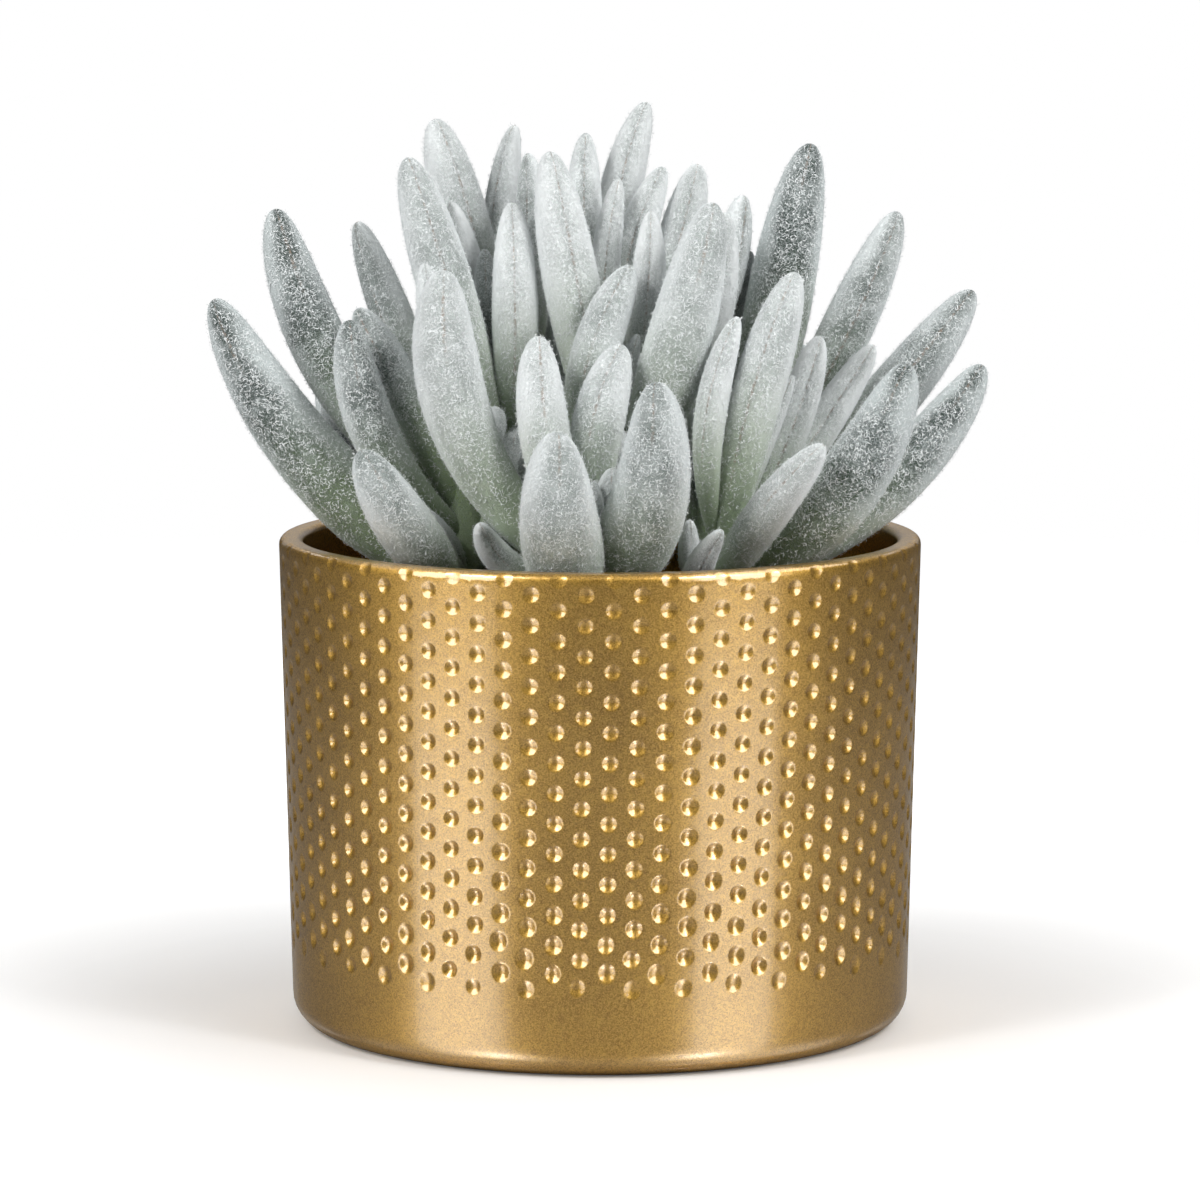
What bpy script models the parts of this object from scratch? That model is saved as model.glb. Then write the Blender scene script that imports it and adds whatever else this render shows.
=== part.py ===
"""Potted senecio: a white-felted succulent of several leafy stems, standing in soil in a dimpled pot.

Metres, +Z up. The origin is the middle of the pot's flat base, and -Y is the side that the photograph
shows. A leaf of that side is given as it is seen there: the pixels of its tip and its bend, and how
far those two points lie in front of (-) or behind (+) the pot's middle. The leaves of the far side,
which the photograph doesn't show, stand in fans round their stems.
"""

import math
import random
from collections import namedtuple

import bmesh
import bpy
import numpy as np
from mathutils import Vector

MM = 0.001

# Pot: a slightly tapered ceramic cylinder with rows of round dimples, each row half a step round
POT_HEIGHT = 80.8 * MM
POT_RIM_RADIUS = 52.8 * MM
POT_FOOT_RADIUS = 51.0 * MM
POT_WALL = 4.0 * MM
POT_FLOOR = 5.0 * MM
FOOT_ROUNDING = 5.1 * MM
RIM_ROUNDING = 1.2 * MM
FLOOR_ROUNDING = 3.0 * MM
DIMPLE_COLUMNS = 76
DIMPLE_ROWS = 27
DIMPLE_ROW_STEP = 2.415 * MM
DIMPLE_DEPTH = 0.5 * MM
DIMPLE_TOP = POT_HEIGHT - RIM_ROUNDING

# Soil: fills the pot to well below the rim
SOIL_TOP = 66.0 * MM
SOIL_LUMP = 0.6 * MM
SOIL_WAVE = 5.7 * MM
SOIL_RIPPLE = 2.9 * MM
SOIL_RING_STEPS = (8 * MM, 10 * MM, 12 * MM)
SOIL_SIDES = 24
GAP = 0.3 * MM

# Stems: woolly, upright, standing in holes in the soil
STEM_RADIUS = 4.2 * MM
STEM_TOP_RADIUS = 3.0 * MM
STEM_BOTTOM = 44.0 * MM
HOLE_TOP = 76.0 * MM
STEM_SIDES = 8
ROOT_SEAT = 1.4 * MM

# Leaves: spindles, widest at their belly, with a blunt tip and a narrow root
LEAF_SIDES = 6
LEAF_RINGS = 6
SMALL_LEAF = 7.1 * MM
SMALL_SIDES = 5
SMALL_RINGS = 5
TIP_POWER = 2.35
ROOT_POWER = 1.6
ROOT_SHARE = 0.45
FACET_SWELL = 1.05
POLE = 0.01
ALONG_STEP = 0.001
SHARP_ANGLE = math.radians(50)

# The eye that the pixels of the leaves are seen from: 0.95 m in front, a little above, looking down
FRAME_MIDDLE = 600
EYE_FOCUS = 5785
EYE = Vector((0.0, -946.1 * MM, 194.6 * MM))
EYE_PITCH = math.radians(7.51)

Shoot = namedtuple("Shoot", "foot top leaves fans")
Leaf = namedtuple("Leaf", "tip bend depths root width belly")
Fan = namedtuple("Fan", "facing spread count root reach rise width")

# Each shoot: its stem's foot and top in millimetres, its leaves seen from the front, its hidden fans
SHOOTS = {
    "shoot_left": Shoot(
        (-23, -9), (-21, -8, 92),
        [
            Leaf((214, 299), (291, 432), (-6, -8), 74, 11.8, 0.66),
            Leaf((275, 209), (315, 335), (8, 4), 84, 9.6, 0.38),
            Leaf((349, 320), (378, 440), (-14, -16), 82, 8.0, 0.40),
            Leaf((357, 309), (400, 385), (-4, -6), 86, 7.2, 0.40),
            Leaf((357, 222), (398, 330), (6, 3), 90, 6.8, 0.40),
            Leaf((360, 451), (395, 512), (-27, -25), 74, 9.6, 0.50),
            Leaf((405, 505), (440, 540), (-20, -17), 73, 5.2, 0.45),
        ],
        [
            Fan(120, 54, 3, 76, 26, 30, 8.5),
            Fan(10, 90, 3, 82, 10, 18, 5.4),
            Fan(60, 360, 2, 88, 5, 14, 4.6),
        ],
    ),
    "shoot_centre": Shoot(
        (-2, -21), (-3, -20, 92),
        [
            Leaf((444, 270), (462, 425), (-22, -24), 77, 10.8, 0.34),
            Leaf((557, 432), (560, 530), (-43, -38), 73, 13.0, 0.58),
            Leaf((656, 382), (649, 500), (-40, -37), 74, 12.8, 0.50),
            Leaf((538, 338), (544, 430), (-22, -23), 80, 8.2, 0.42),
            Leaf((622, 346), (600, 415), (-20, -21), 82, 8.4, 0.42),
            Leaf((632, 266), (600, 338), (-10, -12), 88, 7.8, 0.42),
            Leaf((516, 431), (514, 462), (-14, -14), 80, 5.2, 0.45),
            Leaf((594, 481), (597, 515), (-31, -29), 74, 2.8, 0.45),
            Leaf((613, 468), (608, 510), (-27, -25), 75, 5.6, 0.45),
            Leaf((480, 524), (492, 550), (-31, -27), 73, 5.2, 0.50),
        ],
        [
            Fan(90, 150, 3, 80, 11, 20, 5.6),
            Fan(60, 360, 3, 87, 4, 11, 4.4),
        ],
    ),
    "shoot_right": Shoot(
        (19, -13), (19, -12, 92),
        [
            Leaf((738, 317), (712, 405), (-19, -20), 82, 5.2, 0.42),
            Leaf((796, 273), (757, 395), (-14, -17), 80, 8.4, 0.42),
            Leaf((793, 375), (770, 430), (-12, -13), 79, 3.2, 0.40),
            Leaf((820, 336), (785, 440), (-8, -11), 77, 6.6, 0.42),
            Leaf((874, 345), (832, 410), (-4, -8), 76, 6.2, 0.42),
            Leaf((908, 364), (858, 470), (-26, -26), 74, 11.2, 0.50),
            Leaf((824, 445), (780, 497), (-35, -32), 74, 7.0, 0.45),
            Leaf((983, 365), (923, 450), (-6, -9), 74, 9.4, 0.46),
            Leaf((722, 530), (705, 556), (-38, -35), 73, 4.8, 0.50),
            Leaf((690, 520), (689, 543), (-29, -27), 73, 4.0, 0.50),
        ],
        [
            Fan(110, 110, 3, 80, 11, 22, 5.6),
            Fan(30, 360, 2, 88, 4, 13, 4.6),
        ],
    ),
    "shoot_back_left": Shoot(
        (-15, 10), (-15, 10, 104),
        [
            Leaf((407, 158), (448, 295), (-2, -5), 88, 9.2, 0.38),
            Leaf((424, 263), (436, 330), (-12, -11), 88, 5.8, 0.40),
            Leaf((434, 119), (455, 195), (14, 12), 100, 9.2, 0.42),
            Leaf((451, 202), (468, 265), (6, 5), 96, 5.6, 0.42),
            Leaf((485, 249), (486, 300), (2, 3), 96, 4.6, 0.42),
            Leaf((512, 203), (515, 310), (-1, 0), 92, 7.6, 0.45),
            Leaf((528, 153), (533, 230), (7, 6), 98, 6.2, 0.42),
            Leaf((515, 125), (503, 190), (16, 15), 102, 5.8, 0.42),
        ],
        [
            Fan(125, 100, 4, 76, 32, 32, 9.0),
            Fan(100, 70, 3, 86, 21, 37, 8.0),
            Fan(0, 360, 3, 99, 4, 15, 4.8),
        ],
    ),
    "shoot_back": Shoot(
        (3, 3), (3, 5, 104),
        [
            Leaf((549, 152), (568, 265), (-2, -3), 91, 9.2, 0.43),
            Leaf((586, 133), (584, 200), (12, 10), 101, 6.4, 0.42),
            Leaf((619, 179), (608, 240), (3, 3), 99, 5.0, 0.42),
            Leaf((647, 102), (622, 185), (18, 15), 102, 7.4, 0.42),
            Leaf((664, 167), (637, 235), (9, 6), 98, 6.6, 0.42),
            Leaf((651, 211), (648, 290), (-5, -5), 92, 6.2, 0.45),
            Leaf((638, 334), (630, 360), (-13, -12), 90, 3.6, 0.42),
            Leaf((698, 164), (681, 235), (10, 8), 97, 7.8, 0.42),
            Leaf((713, 204), (682, 330), (-10, -13), 85, 10.6, 0.45),
            Leaf((724, 212), (716, 290), (-4, -5), 88, 7.4, 0.42),
            Leaf((743, 195), (731, 250), (5, 4), 94, 7.2, 0.42),
        ],
        [
            Fan(90, 160, 4, 88, 13, 34, 7.0),
        ],
    ),
    "shoot_back_right": Shoot(
        (24, 13), (24, 13, 96),
        [
            Leaf((811, 144), (784, 275), (8, 4), 90, 10.8, 0.50),
            Leaf((898, 212), (848, 326), (6, 2), 85, 8.6, 0.42),
            Leaf((973, 291), (902, 384), (6, 2), 78, 9.4, 0.45),
            Leaf((751, 251), (738, 300), (7, 7), 92, 4.6, 0.42),
        ],
        [
            Fan(50, 70, 4, 76, 30, 26, 9.0),
            Fan(65, 60, 3, 84, 20, 26, 8.0),
            Fan(200, 110, 3, 84, 10, 20, 5.6),
        ],
    ),
    "shoot_rear": Shoot(
        (3, 28), (3, 27, 94),
        [],
        [
            Fan(90, 120, 5, 73, 22, 30, 9.5),
            Fan(90, 150, 5, 79, 20, 40, 8.5),
            Fan(90, 170, 4, 86, 13, 42, 7.5),
            Fan(90, 200, 3, 91, 6, 30, 5.5),
        ],
    ),
}
FAN_SEED = 11
FAN_TURN = 7.0
FAN_STRETCH = 0.10
FAN_BELLY = 0.45
BEND_REACH = 0.62
BEND_RISE = 0.40

# Leaves that would touch are moved apart until this much air is between them
LEAF_AIR = 0.6 * MM
FREE_FROM = 0.45
SAMPLES = 12
FIRST_SAMPLE = 0.08
SETTLE_ROUNDS = 120
PUSH_SHARE = 0.3
MIN_SLOPE = 0.4
MIN_LEVER = 0.15


def clear_scene():
    for thing in list(bpy.data.objects):
        bpy.data.objects.remove(thing)


def material(name, colour, roughness, metallic=0.0):
    made = bpy.data.materials.new(name)
    made.use_nodes = True
    shader = made.node_tree.nodes["Principled BSDF"]
    shader.inputs["Base Color"].default_value = (*colour, 1.0)
    shader.inputs["Roughness"].default_value = roughness
    shader.inputs["Metallic"].default_value = metallic
    made.diffuse_color = (*colour, 1.0)
    return made


def add_object(name, bm, finish=None):
    """Turns a bmesh into an object of the scene, shaded smooth except at its real edges."""
    mesh = bpy.data.meshes.new(name)
    bm.to_mesh(mesh)
    bm.free()
    if finish:
        mesh.materials.append(finish)
    mesh.shade_smooth()
    mesh.set_sharp_from_angle(angle=SHARP_ANGLE)
    made = bpy.data.objects.new(name, mesh)
    bpy.context.scene.collection.objects.link(made)
    return made


def apply_boolean(base, operation, others):
    """Joins a list of objects to the base, or cuts them from it, and removes them."""
    group = bpy.data.collections.new(base.name + "_others")
    for other in others:
        bpy.context.scene.collection.objects.unlink(other)
        group.objects.link(other)
    bpy.context.scene.collection.children.link(group)
    step = base.modifiers.new("boolean", "BOOLEAN")
    step.operation = operation
    step.operand_type = "COLLECTION"
    step.collection = group
    ready = base.evaluated_get(bpy.context.evaluated_depsgraph_get())
    result = bpy.data.meshes.new_from_object(ready)
    base.modifiers.clear()
    base.data = result
    for other in others:
        bpy.data.objects.remove(other)
    bpy.data.collections.remove(group)


def on_circle(radius, angle, height):
    return Vector((radius * math.cos(angle), radius * math.sin(angle), height))


def wall_radius(height):
    """The outside of the pot's wall, which widens evenly from the foot to the rim."""
    return POT_FOOT_RADIUS + (POT_RIM_RADIUS - POT_FOOT_RADIUS) * height / POT_HEIGHT


def arc(middle, radius, first, last, steps):
    """Points (radius, height) along a rounding, from one angle to another in degrees."""
    points = []
    for step in range(1, steps + 1):
        angle = math.radians(first + (last - first) * step / steps)
        points.append((middle[0] + radius * math.cos(angle), middle[1] + radius * math.sin(angle)))
    return points


def pull_ring(bm, ring, profile):
    """Extrudes an open edge loop through each (radius, height) of a turned profile."""
    edges = [edge for edge in bm.edges if edge.is_boundary and all(v in ring for v in edge.verts)]
    for radius, height in profile:
        made = bmesh.ops.extrude_edge_only(bm, edges=edges)["geom"]
        edges = [part for part in made if isinstance(part, bmesh.types.BMEdge)]
        for vertex in {v for edge in edges for v in edge.verts}:
            angle = math.atan2(vertex.co.y, vertex.co.x)
            vertex.co = on_circle(radius, angle, height)
    cap = bmesh.ops.contextual_create(bm, geom=edges)["faces"]
    bmesh.ops.poke(bm, faces=cap)


def dimpled_wall(bm):
    """The wall as a honeycomb: a cell for each dimple, whose middle is pushed in. Returns its end rings."""
    step = 2 * math.pi / DIMPLE_COLUMNS
    across = step * wall_radius(POT_HEIGHT / 2)
    half_cell = (1 - (DIMPLE_ROW_STEP / across) ** 2) / 2 * step
    rings = []
    for level in range(DIMPLE_ROWS + 1):
        height = DIMPLE_TOP - (DIMPLE_ROWS - level) * DIMPLE_ROW_STEP
        ring = {}
        for column in range(DIMPLE_COLUMNS):
            if (column + level) % 2:
                for side in (-1, 1):
                    place = on_circle(wall_radius(height), column * step + side * half_cell, height)
                    ring[column, side] = bm.verts.new(place)
        rings.append(ring)
    cells = []
    for level in range(DIMPLE_ROWS + 1):
        for column in range(level % 2, DIMPLE_COLUMNS, 2):
            before = (column - 1) % DIMPLE_COLUMNS
            after = (column + 1) % DIMPLE_COLUMNS
            corners = [rings[level][before, 1]]
            if level > 0:
                corners += [rings[level - 1][column, -1], rings[level - 1][column, 1]]
            corners.append(rings[level][after, -1])
            if level < DIMPLE_ROWS:
                corners += [rings[level + 1][column, 1], rings[level + 1][column, -1]]
            cell = bm.faces.new(corners)
            if len(corners) == 6:
                cells.append(cell)
    bmesh.ops.recalc_face_normals(bm, faces=bm.faces)
    bmesh.ops.poke(bm, faces=cells, offset=-DIMPLE_DEPTH)
    return set(rings[0].values()), set(rings[-1].values())


def make_pot():
    bm = bmesh.new()
    bottom, top = dimpled_wall(bm)
    foot = arc((POT_FOOT_RADIUS - FOOT_ROUNDING, FOOT_ROUNDING), FOOT_ROUNDING, 0, -90, 3)
    pull_ring(bm, bottom, [(POT_FOOT_RADIUS, FOOT_ROUNDING)] + foot)
    rim_top = (POT_RIM_RADIUS - RIM_ROUNDING, DIMPLE_TOP)
    inner_rim = POT_RIM_RADIUS - POT_WALL
    inner_foot = POT_FOOT_RADIUS - POT_WALL
    rim = arc(rim_top, RIM_ROUNDING, 0, 90, 2)
    rim += arc((inner_rim + RIM_ROUNDING, DIMPLE_TOP), RIM_ROUNDING, 90, 180, 1)
    floor_middle = (inner_foot - FLOOR_ROUNDING, POT_FLOOR + FLOOR_ROUNDING)
    floor = arc(floor_middle, FLOOR_ROUNDING, 0, -90, 1)
    pull_ring(bm, top, rim + [(inner_foot, POT_FLOOR + FLOOR_ROUNDING)] + floor)
    bmesh.ops.recalc_face_normals(bm, faces=bm.faces)
    gold = material("gold_paint", (0.46, 0.31, 0.12), 0.38, 0.85)
    add_object("pot", bm, gold)


def soil_height(x, y):
    """The uneven top of the soil: low waves, with ripples across them."""
    waves = math.sin(x / SOIL_WAVE) * math.cos(y / SOIL_WAVE)
    ripples = math.sin((x - y) / SOIL_RIPPLE) / 2
    return SOIL_TOP + SOIL_LUMP * (waves + ripples)


def make_soil():
    bm = bmesh.new()
    top_radius = POT_FOOT_RADIUS - POT_WALL - GAP
    rounding = FLOOR_ROUNDING + GAP
    made = bmesh.ops.create_circle(bm, segments=SOIL_SIDES, radius=top_radius, cap_ends=True)
    bmesh.ops.translate(bm, verts=made["verts"], vec=(0, 0, SOIL_TOP))
    lid = bm.faces[:]
    ring = set(made["verts"])
    pull = [(top_radius, POT_FLOOR + GAP + rounding)]
    pull += arc((top_radius - rounding, POT_FLOOR + GAP + rounding), rounding, 0, -90, 1)
    pull_ring(bm, ring, pull)
    for ring_step in SOIL_RING_STEPS:
        bmesh.ops.inset_individual(bm, faces=lid, thickness=ring_step)
    bmesh.ops.poke(bm, faces=lid)
    for vertex in bm.verts:
        if vertex.co.z > SOIL_TOP - GAP:
            vertex.co.z = soil_height(vertex.co.x, vertex.co.y)
    bmesh.ops.recalc_face_normals(bm, faces=bm.faces)
    bmesh.ops.triangulate(bm, faces=bm.faces)
    brown = material("potting_soil", (0.045, 0.030, 0.020), 0.95)
    soil = add_object("soil", bm, brown)
    holes = [stem_hole(shoot) for shoot in SHOOTS.values()]
    apply_boolean(soil, "DIFFERENCE", holes)


def stem_point(shoot, height):
    """A point on the stem's middle line, which runs straight from its foot to its top."""
    foot = Vector((*shoot.foot, SOIL_TOP / MM)) * MM
    top = Vector(shoot.top) * MM
    return foot.lerp(top, (height - foot.z) / (top.z - foot.z))


def bar(name, shoot, low, high, low_radius, high_radius):
    """A round bar along the stem, from one height to another."""
    bm = bmesh.new()
    bmesh.ops.create_cone(
        bm,
        segments=STEM_SIDES,
        radius1=low_radius,
        radius2=high_radius,
        depth=high - low,
        cap_ends=True,
    )
    for vertex in bm.verts:
        middle = stem_point(shoot, low if vertex.co.z < 0 else high)
        vertex.co = middle + Vector((vertex.co.x, vertex.co.y, 0))
    return add_object(name, bm)


def stem_hole(shoot):
    radius = STEM_RADIUS + GAP
    return bar("hole", shoot, STEM_BOTTOM - GAP, HOLE_TOP, radius, radius)


def seen_at(pixel, depth):
    """The point at a depth (its y, in millimetres) that the eye sees at a pixel of the photograph."""
    right = (pixel[0] - FRAME_MIDDLE) / EYE_FOCUS
    up = (FRAME_MIDDLE - pixel[1]) / EYE_FOCUS
    ahead = math.cos(EYE_PITCH) + up * math.sin(EYE_PITCH)
    ray = Vector((right, ahead, up * math.cos(EYE_PITCH) - math.sin(EYE_PITCH)))
    return EYE + ray * ((depth * MM - EYE.y) / ray.y)


class Blade:
    """One leaf in space: its root, bend and tip, its half width, its belly and how it may be moved."""

    def __init__(self, shoot_name, shoot, root, bend, tip, width, belly, seen):
        out = bend - stem_point(shoot, root * MM)
        out.z = 0
        self.shoot_name = shoot_name
        self.points = [stem_point(shoot, root * MM) + out.normalized() * ROOT_SEAT, bend, tip]
        self.half_width = width * MM / 2
        self.belly = belly
        self.sight = (bend - EYE).normalized() if seen else None
        low, high = (bend - self.points[0]).length, (tip - bend).length
        self.middle = low / (low + high)

    def weights(self, along):
        """How much the root, bend and tip each count at a share of the way from root to tip."""
        m = self.middle
        return (
            (along - m) * (along - 1) / m,
            along * (along - 1) / (m * (m - 1)),
            along * (along - m) / (1 - m),
        )

    def at(self, along):
        shares = self.weights(along)
        return sum((point * share for point, share in zip(self.points, shares)), Vector())

    def radius(self, along):
        from_tip = 1 - along
        if from_tip < self.belly:
            rest = 1 - from_tip / self.belly
            return self.half_width * (1 - rest ** TIP_POWER) ** (1 / TIP_POWER)
        rest = (from_tip - self.belly) / (1 - self.belly)
        return self.half_width * (1 - (1 - ROOT_SHARE) * rest ** ROOT_POWER)


def seen_blades(name, shoot):
    blades = []
    for leaf in shoot.leaves:
        tip = seen_at(leaf.tip, leaf.depths[0])
        bend = seen_at(leaf.bend, leaf.depths[1])
        blades.append(Blade(name, shoot, leaf.root, bend, tip, leaf.width, leaf.belly, True))
    return blades


def fan_blades(name, shoot, chance):
    """Leaves spread evenly over an arc round the stem, each turned and stretched a little by chance."""
    blades = []
    for fan in shoot.fans:
        for number in range(fan.count):
            share = (number + 0.5) / fan.count - 0.5
            angle = math.radians(fan.facing + fan.spread * share + chance.uniform(-FAN_TURN, FAN_TURN))
            stretch = 1 + chance.uniform(-FAN_STRETCH, FAN_STRETCH)
            foot = stem_point(shoot, fan.root * MM)
            reach = fan.reach * MM * stretch
            rise = fan.rise * MM * stretch
            bend = foot + on_circle(reach * BEND_REACH, angle, rise * BEND_RISE)
            tip = foot + on_circle(reach, angle, rise)
            blades.append(Blade(name, shoot, fan.root, bend, tip, fan.width, FAN_BELLY, False))
    return blades


def stem_line(shoot):
    """Points up a stem's middle line, as many as a leaf has samples."""
    heights = np.linspace(SOIL_TOP, shoot.top[2] * MM, SAMPLES)
    return [tuple(stem_point(shoot, height)) for height in heights]


def reach_table(radii, shoots, along):
    """How near each sample of a leaf may come to each of another leaf or a stem. Where one stem bears
    both, their lower parts may meet."""
    reach = radii[:, :, None, None] + radii[None, None] + LEAF_AIR
    low = along < FREE_FROM
    for a, shoot in enumerate(shoots):
        same = shoots == shoot
        reach[a][np.ix_(low, same)] = 0
        reach[a][:, same] *= ~low
        reach[a, :, a] = 0
    return reach


def settle(blades):
    """Moves leaves that would touch apart: a seen leaf only along its line of sight, so that it looks
    the same from the front, and a hidden one any way. Leaves keep off the stems of other shoots too."""
    along = np.linspace(FIRST_SAMPLE, 1.0, SAMPLES)
    weights = np.array([[blade.weights(share) for share in along] for blade in blades])
    points = np.array([[tuple(point) for point in blade.points] for blade in blades])
    stems = np.array([stem_line(shoot) for shoot in SHOOTS.values()])
    radii = [[blade.radius(share) for share in along] for blade in blades]
    radii = np.array(radii + [[STEM_RADIUS] * SAMPLES] * len(SHOOTS))
    shoots = np.array([blade.shoot_name for blade in blades] + list(SHOOTS))
    reach = reach_table(radii, shoots, along)
    for _ in range(SETTLE_ROUNDS):
        places = np.concatenate([weights @ points, stems])
        touching = 0
        for number, blade in enumerate(blades):
            apart = places[number][:, None, None] - places[None]
            far = np.linalg.norm(apart, axis=-1).clip(min=POLE * MM)
            overlap = reach[number] - far
            move = np.zeros((2, 3))
            for other in np.nonzero(overlap.max(axis=(0, 2)) > 0)[0]:
                mine, theirs = np.unravel_index(overlap[:, other].argmax(), (SAMPLES, SAMPLES))
                push = apart[mine, other, theirs] / far[mine, other, theirs]
                if blade.sight:
                    slope = push @ blade.sight
                    push = np.array(blade.sight) * math.copysign(1 / max(abs(slope), MIN_SLOPE), slope)
                lever = weights[number, mine, 1:]
                size = overlap[mine, other, theirs] * PUSH_SHARE / max(lever @ lever, MIN_LEVER)
                move += np.outer(lever, push) * size
                touching += 1
            points[number, 1:] += move
        if not touching:
            break
    for blade, moved in zip(blades, points):
        blade.points = [Vector(point) for point in moved]


def make_leaf(blade):
    """A faceted spindle: a ball whose poles go to the root and the tip of the leaf's curve."""
    small = blade.half_width * 2 < SMALL_LEAF
    sides = SMALL_SIDES if small else LEAF_SIDES
    rings = SMALL_RINGS if small else LEAF_RINGS
    bm = bmesh.new()
    bmesh.ops.create_uvsphere(bm, u_segments=sides, v_segments=rings, radius=1)
    for vertex in bm.verts:
        along = (1 + vertex.co.z) / 2
        ahead = (blade.at(along + ALONG_STEP) - blade.at(along - ALONG_STEP)).normalized()
        side = ahead.cross(Vector((1, 0, 0))).normalized()
        round_it = Vector((vertex.co.x, vertex.co.y))
        if round_it.length > POLE:
            round_it *= blade.radius(along) * FACET_SWELL / round_it.length
        vertex.co = blade.at(along) + side * round_it.x + ahead.cross(side) * round_it.y
    bmesh.ops.recalc_face_normals(bm, faces=bm.faces)
    bmesh.ops.triangulate(bm, faces=bm.faces)
    return add_object("leaf", bm)


def fill_hollows(thing):
    """Takes out the walls of any hollow that the grown-together leaves shut in, and so fills it."""
    bm = bmesh.new()
    bm.from_mesh(thing.data)
    unseen = set(bm.faces)
    shells = []
    while unseen:
        shell = [unseen.pop()]
        for face in shell:
            for edge in face.edges:
                for near in edge.link_faces:
                    if near in unseen:
                        unseen.remove(near)
                        shell.append(near)
        shells.append(shell)
    shells.sort(key=len)
    for shell in shells[:-1]:
        bmesh.ops.delete(bm, geom=shell, context="FACES")
    bm.to_mesh(thing.data)
    bm.free()


def make_shoot(name, shoot, blades, finish):
    """A stem with its leaves grown together, in one solid."""
    top = shoot.top[2] * MM
    stem = bar(name, shoot, STEM_BOTTOM, top, STEM_RADIUS, STEM_TOP_RADIUS)
    stem.data.materials.append(finish)
    leaves = [make_leaf(blade) for blade in blades]
    apply_boolean(stem, "UNION", leaves)
    fill_hollows(stem)


def make_plant():
    felt = material("white_felt", (0.52, 0.58, 0.56), 0.9)
    chance = random.Random(FAN_SEED)
    blades = []
    for name, shoot in SHOOTS.items():
        blades += seen_blades(name, shoot)
        blades += fan_blades(name, shoot, chance)
    settle(blades)
    for name, shoot in SHOOTS.items():
        own = [blade for blade in blades if blade.shoot_name == name]
        make_shoot(name, shoot, own, felt)


clear_scene()
make_pot()
make_soil()
make_plant()
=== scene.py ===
"""Potted senecio: the looks of a white-felted succulent in a dimpled gold pot."""

import math
import random
from collections import namedtuple

import bmesh
import bpy
import numpy as np
from mathutils import Matrix, Vector, noise


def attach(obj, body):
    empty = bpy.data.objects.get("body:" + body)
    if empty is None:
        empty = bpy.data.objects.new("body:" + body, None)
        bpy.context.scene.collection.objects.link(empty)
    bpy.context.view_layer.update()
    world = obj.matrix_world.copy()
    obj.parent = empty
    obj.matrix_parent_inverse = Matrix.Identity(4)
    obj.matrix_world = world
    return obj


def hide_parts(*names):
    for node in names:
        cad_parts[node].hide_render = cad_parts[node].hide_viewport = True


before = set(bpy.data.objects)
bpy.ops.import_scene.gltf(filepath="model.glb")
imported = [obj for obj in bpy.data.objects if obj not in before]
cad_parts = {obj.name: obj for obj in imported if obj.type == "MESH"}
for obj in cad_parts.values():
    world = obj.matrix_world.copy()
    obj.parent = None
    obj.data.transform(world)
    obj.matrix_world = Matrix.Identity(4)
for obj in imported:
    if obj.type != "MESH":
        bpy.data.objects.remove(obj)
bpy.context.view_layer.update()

# The pot
# One slip-cast ceramic cylinder, a little wider at its rim, sprayed with satin gold paint that has a
# fine glitter in it. Its mould pressed 76 slightly leaning columns of round dimples into the wall. They
# get deeper and less regular towards the plain band above the rounded foot.
MM = 0.001
POT_HEIGHT = 80.8 * MM
POT_RIM_RADIUS = 52.8 * MM
POT_FOOT_RADIUS = 51.0 * MM
POT_WALL = 4.0 * MM
POT_FLOOR = 5.0 * MM
FOOT_ROUNDING = 5.1 * MM
RIM_ROUNDING = 1.2 * MM
FLOOR_ROUNDING = 3.0 * MM
POLE_RADIUS = 1.0 * MM
INNER_LIP = 6 * MM
INNER_BEND = 40 * MM
PLAIN_BAND = 12.0 * MM
FOOT_STEPS = 8
RIM_STEPS = (12, 6)
FLOOR_STEPS = 3
WELD = 0.01 * MM

DIMPLE_COLUMNS = 76
DIMPLE_ROWS = 27
DIMPLE_ROW_STEP = 2.415 * MM
DIMPLE_COLUMN_STEP = math.tau * (POT_RIM_RADIUS + POT_FOOT_RADIUS) / 2 / DIMPLE_COLUMNS
DIMPLE_TOP = 79.9 * MM
DIMPLE_RADIUS = 1.42 * MM
LEAST_RADIUS = 0.97
GROWTH_TO_FOOT = 0.1
RADIUS_CHANCE = 0.07
STRETCH_CHANCE = 0.2
DIMPLE_DEPTHS = (0.30 * MM, 0.66 * MM)
DEPTH_POWER = 1.5
DEPTH_CHANCE = (0.9, 1.1)
EDGE_ROW_DEPTH = 0.6
DIMPLE_POWER = 1.4
DIMPLE_RINGS = (1.12, 0.98, 0.84, 0.62, 0.34)
RING_STEP = 0.02 * MM
PRESS_REACH = 1.5
RIM_ROW_GAP = 0.2 * MM
LENGTHS_APART = 1e-9
COLUMN_SHIFT = 0.10
COLUMN_LEAN = 0.43
ROUGH_ROWS = 9
ROUGH_SHIFT = 0.30 * MM
POT_SEED = 4

Pit = namedtuple("Pit", "middle radius depth stretch")


def arc(middle, radius, first, last, steps):
    """Points (radius, height) along a rounding, from one angle to another in degrees."""
    angles = [math.radians(first + (last - first) * step / steps) for step in range(steps + 1)]
    return [(middle[0] + radius * math.cos(a), middle[1] + radius * math.sin(a)) for a in angles]


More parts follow.
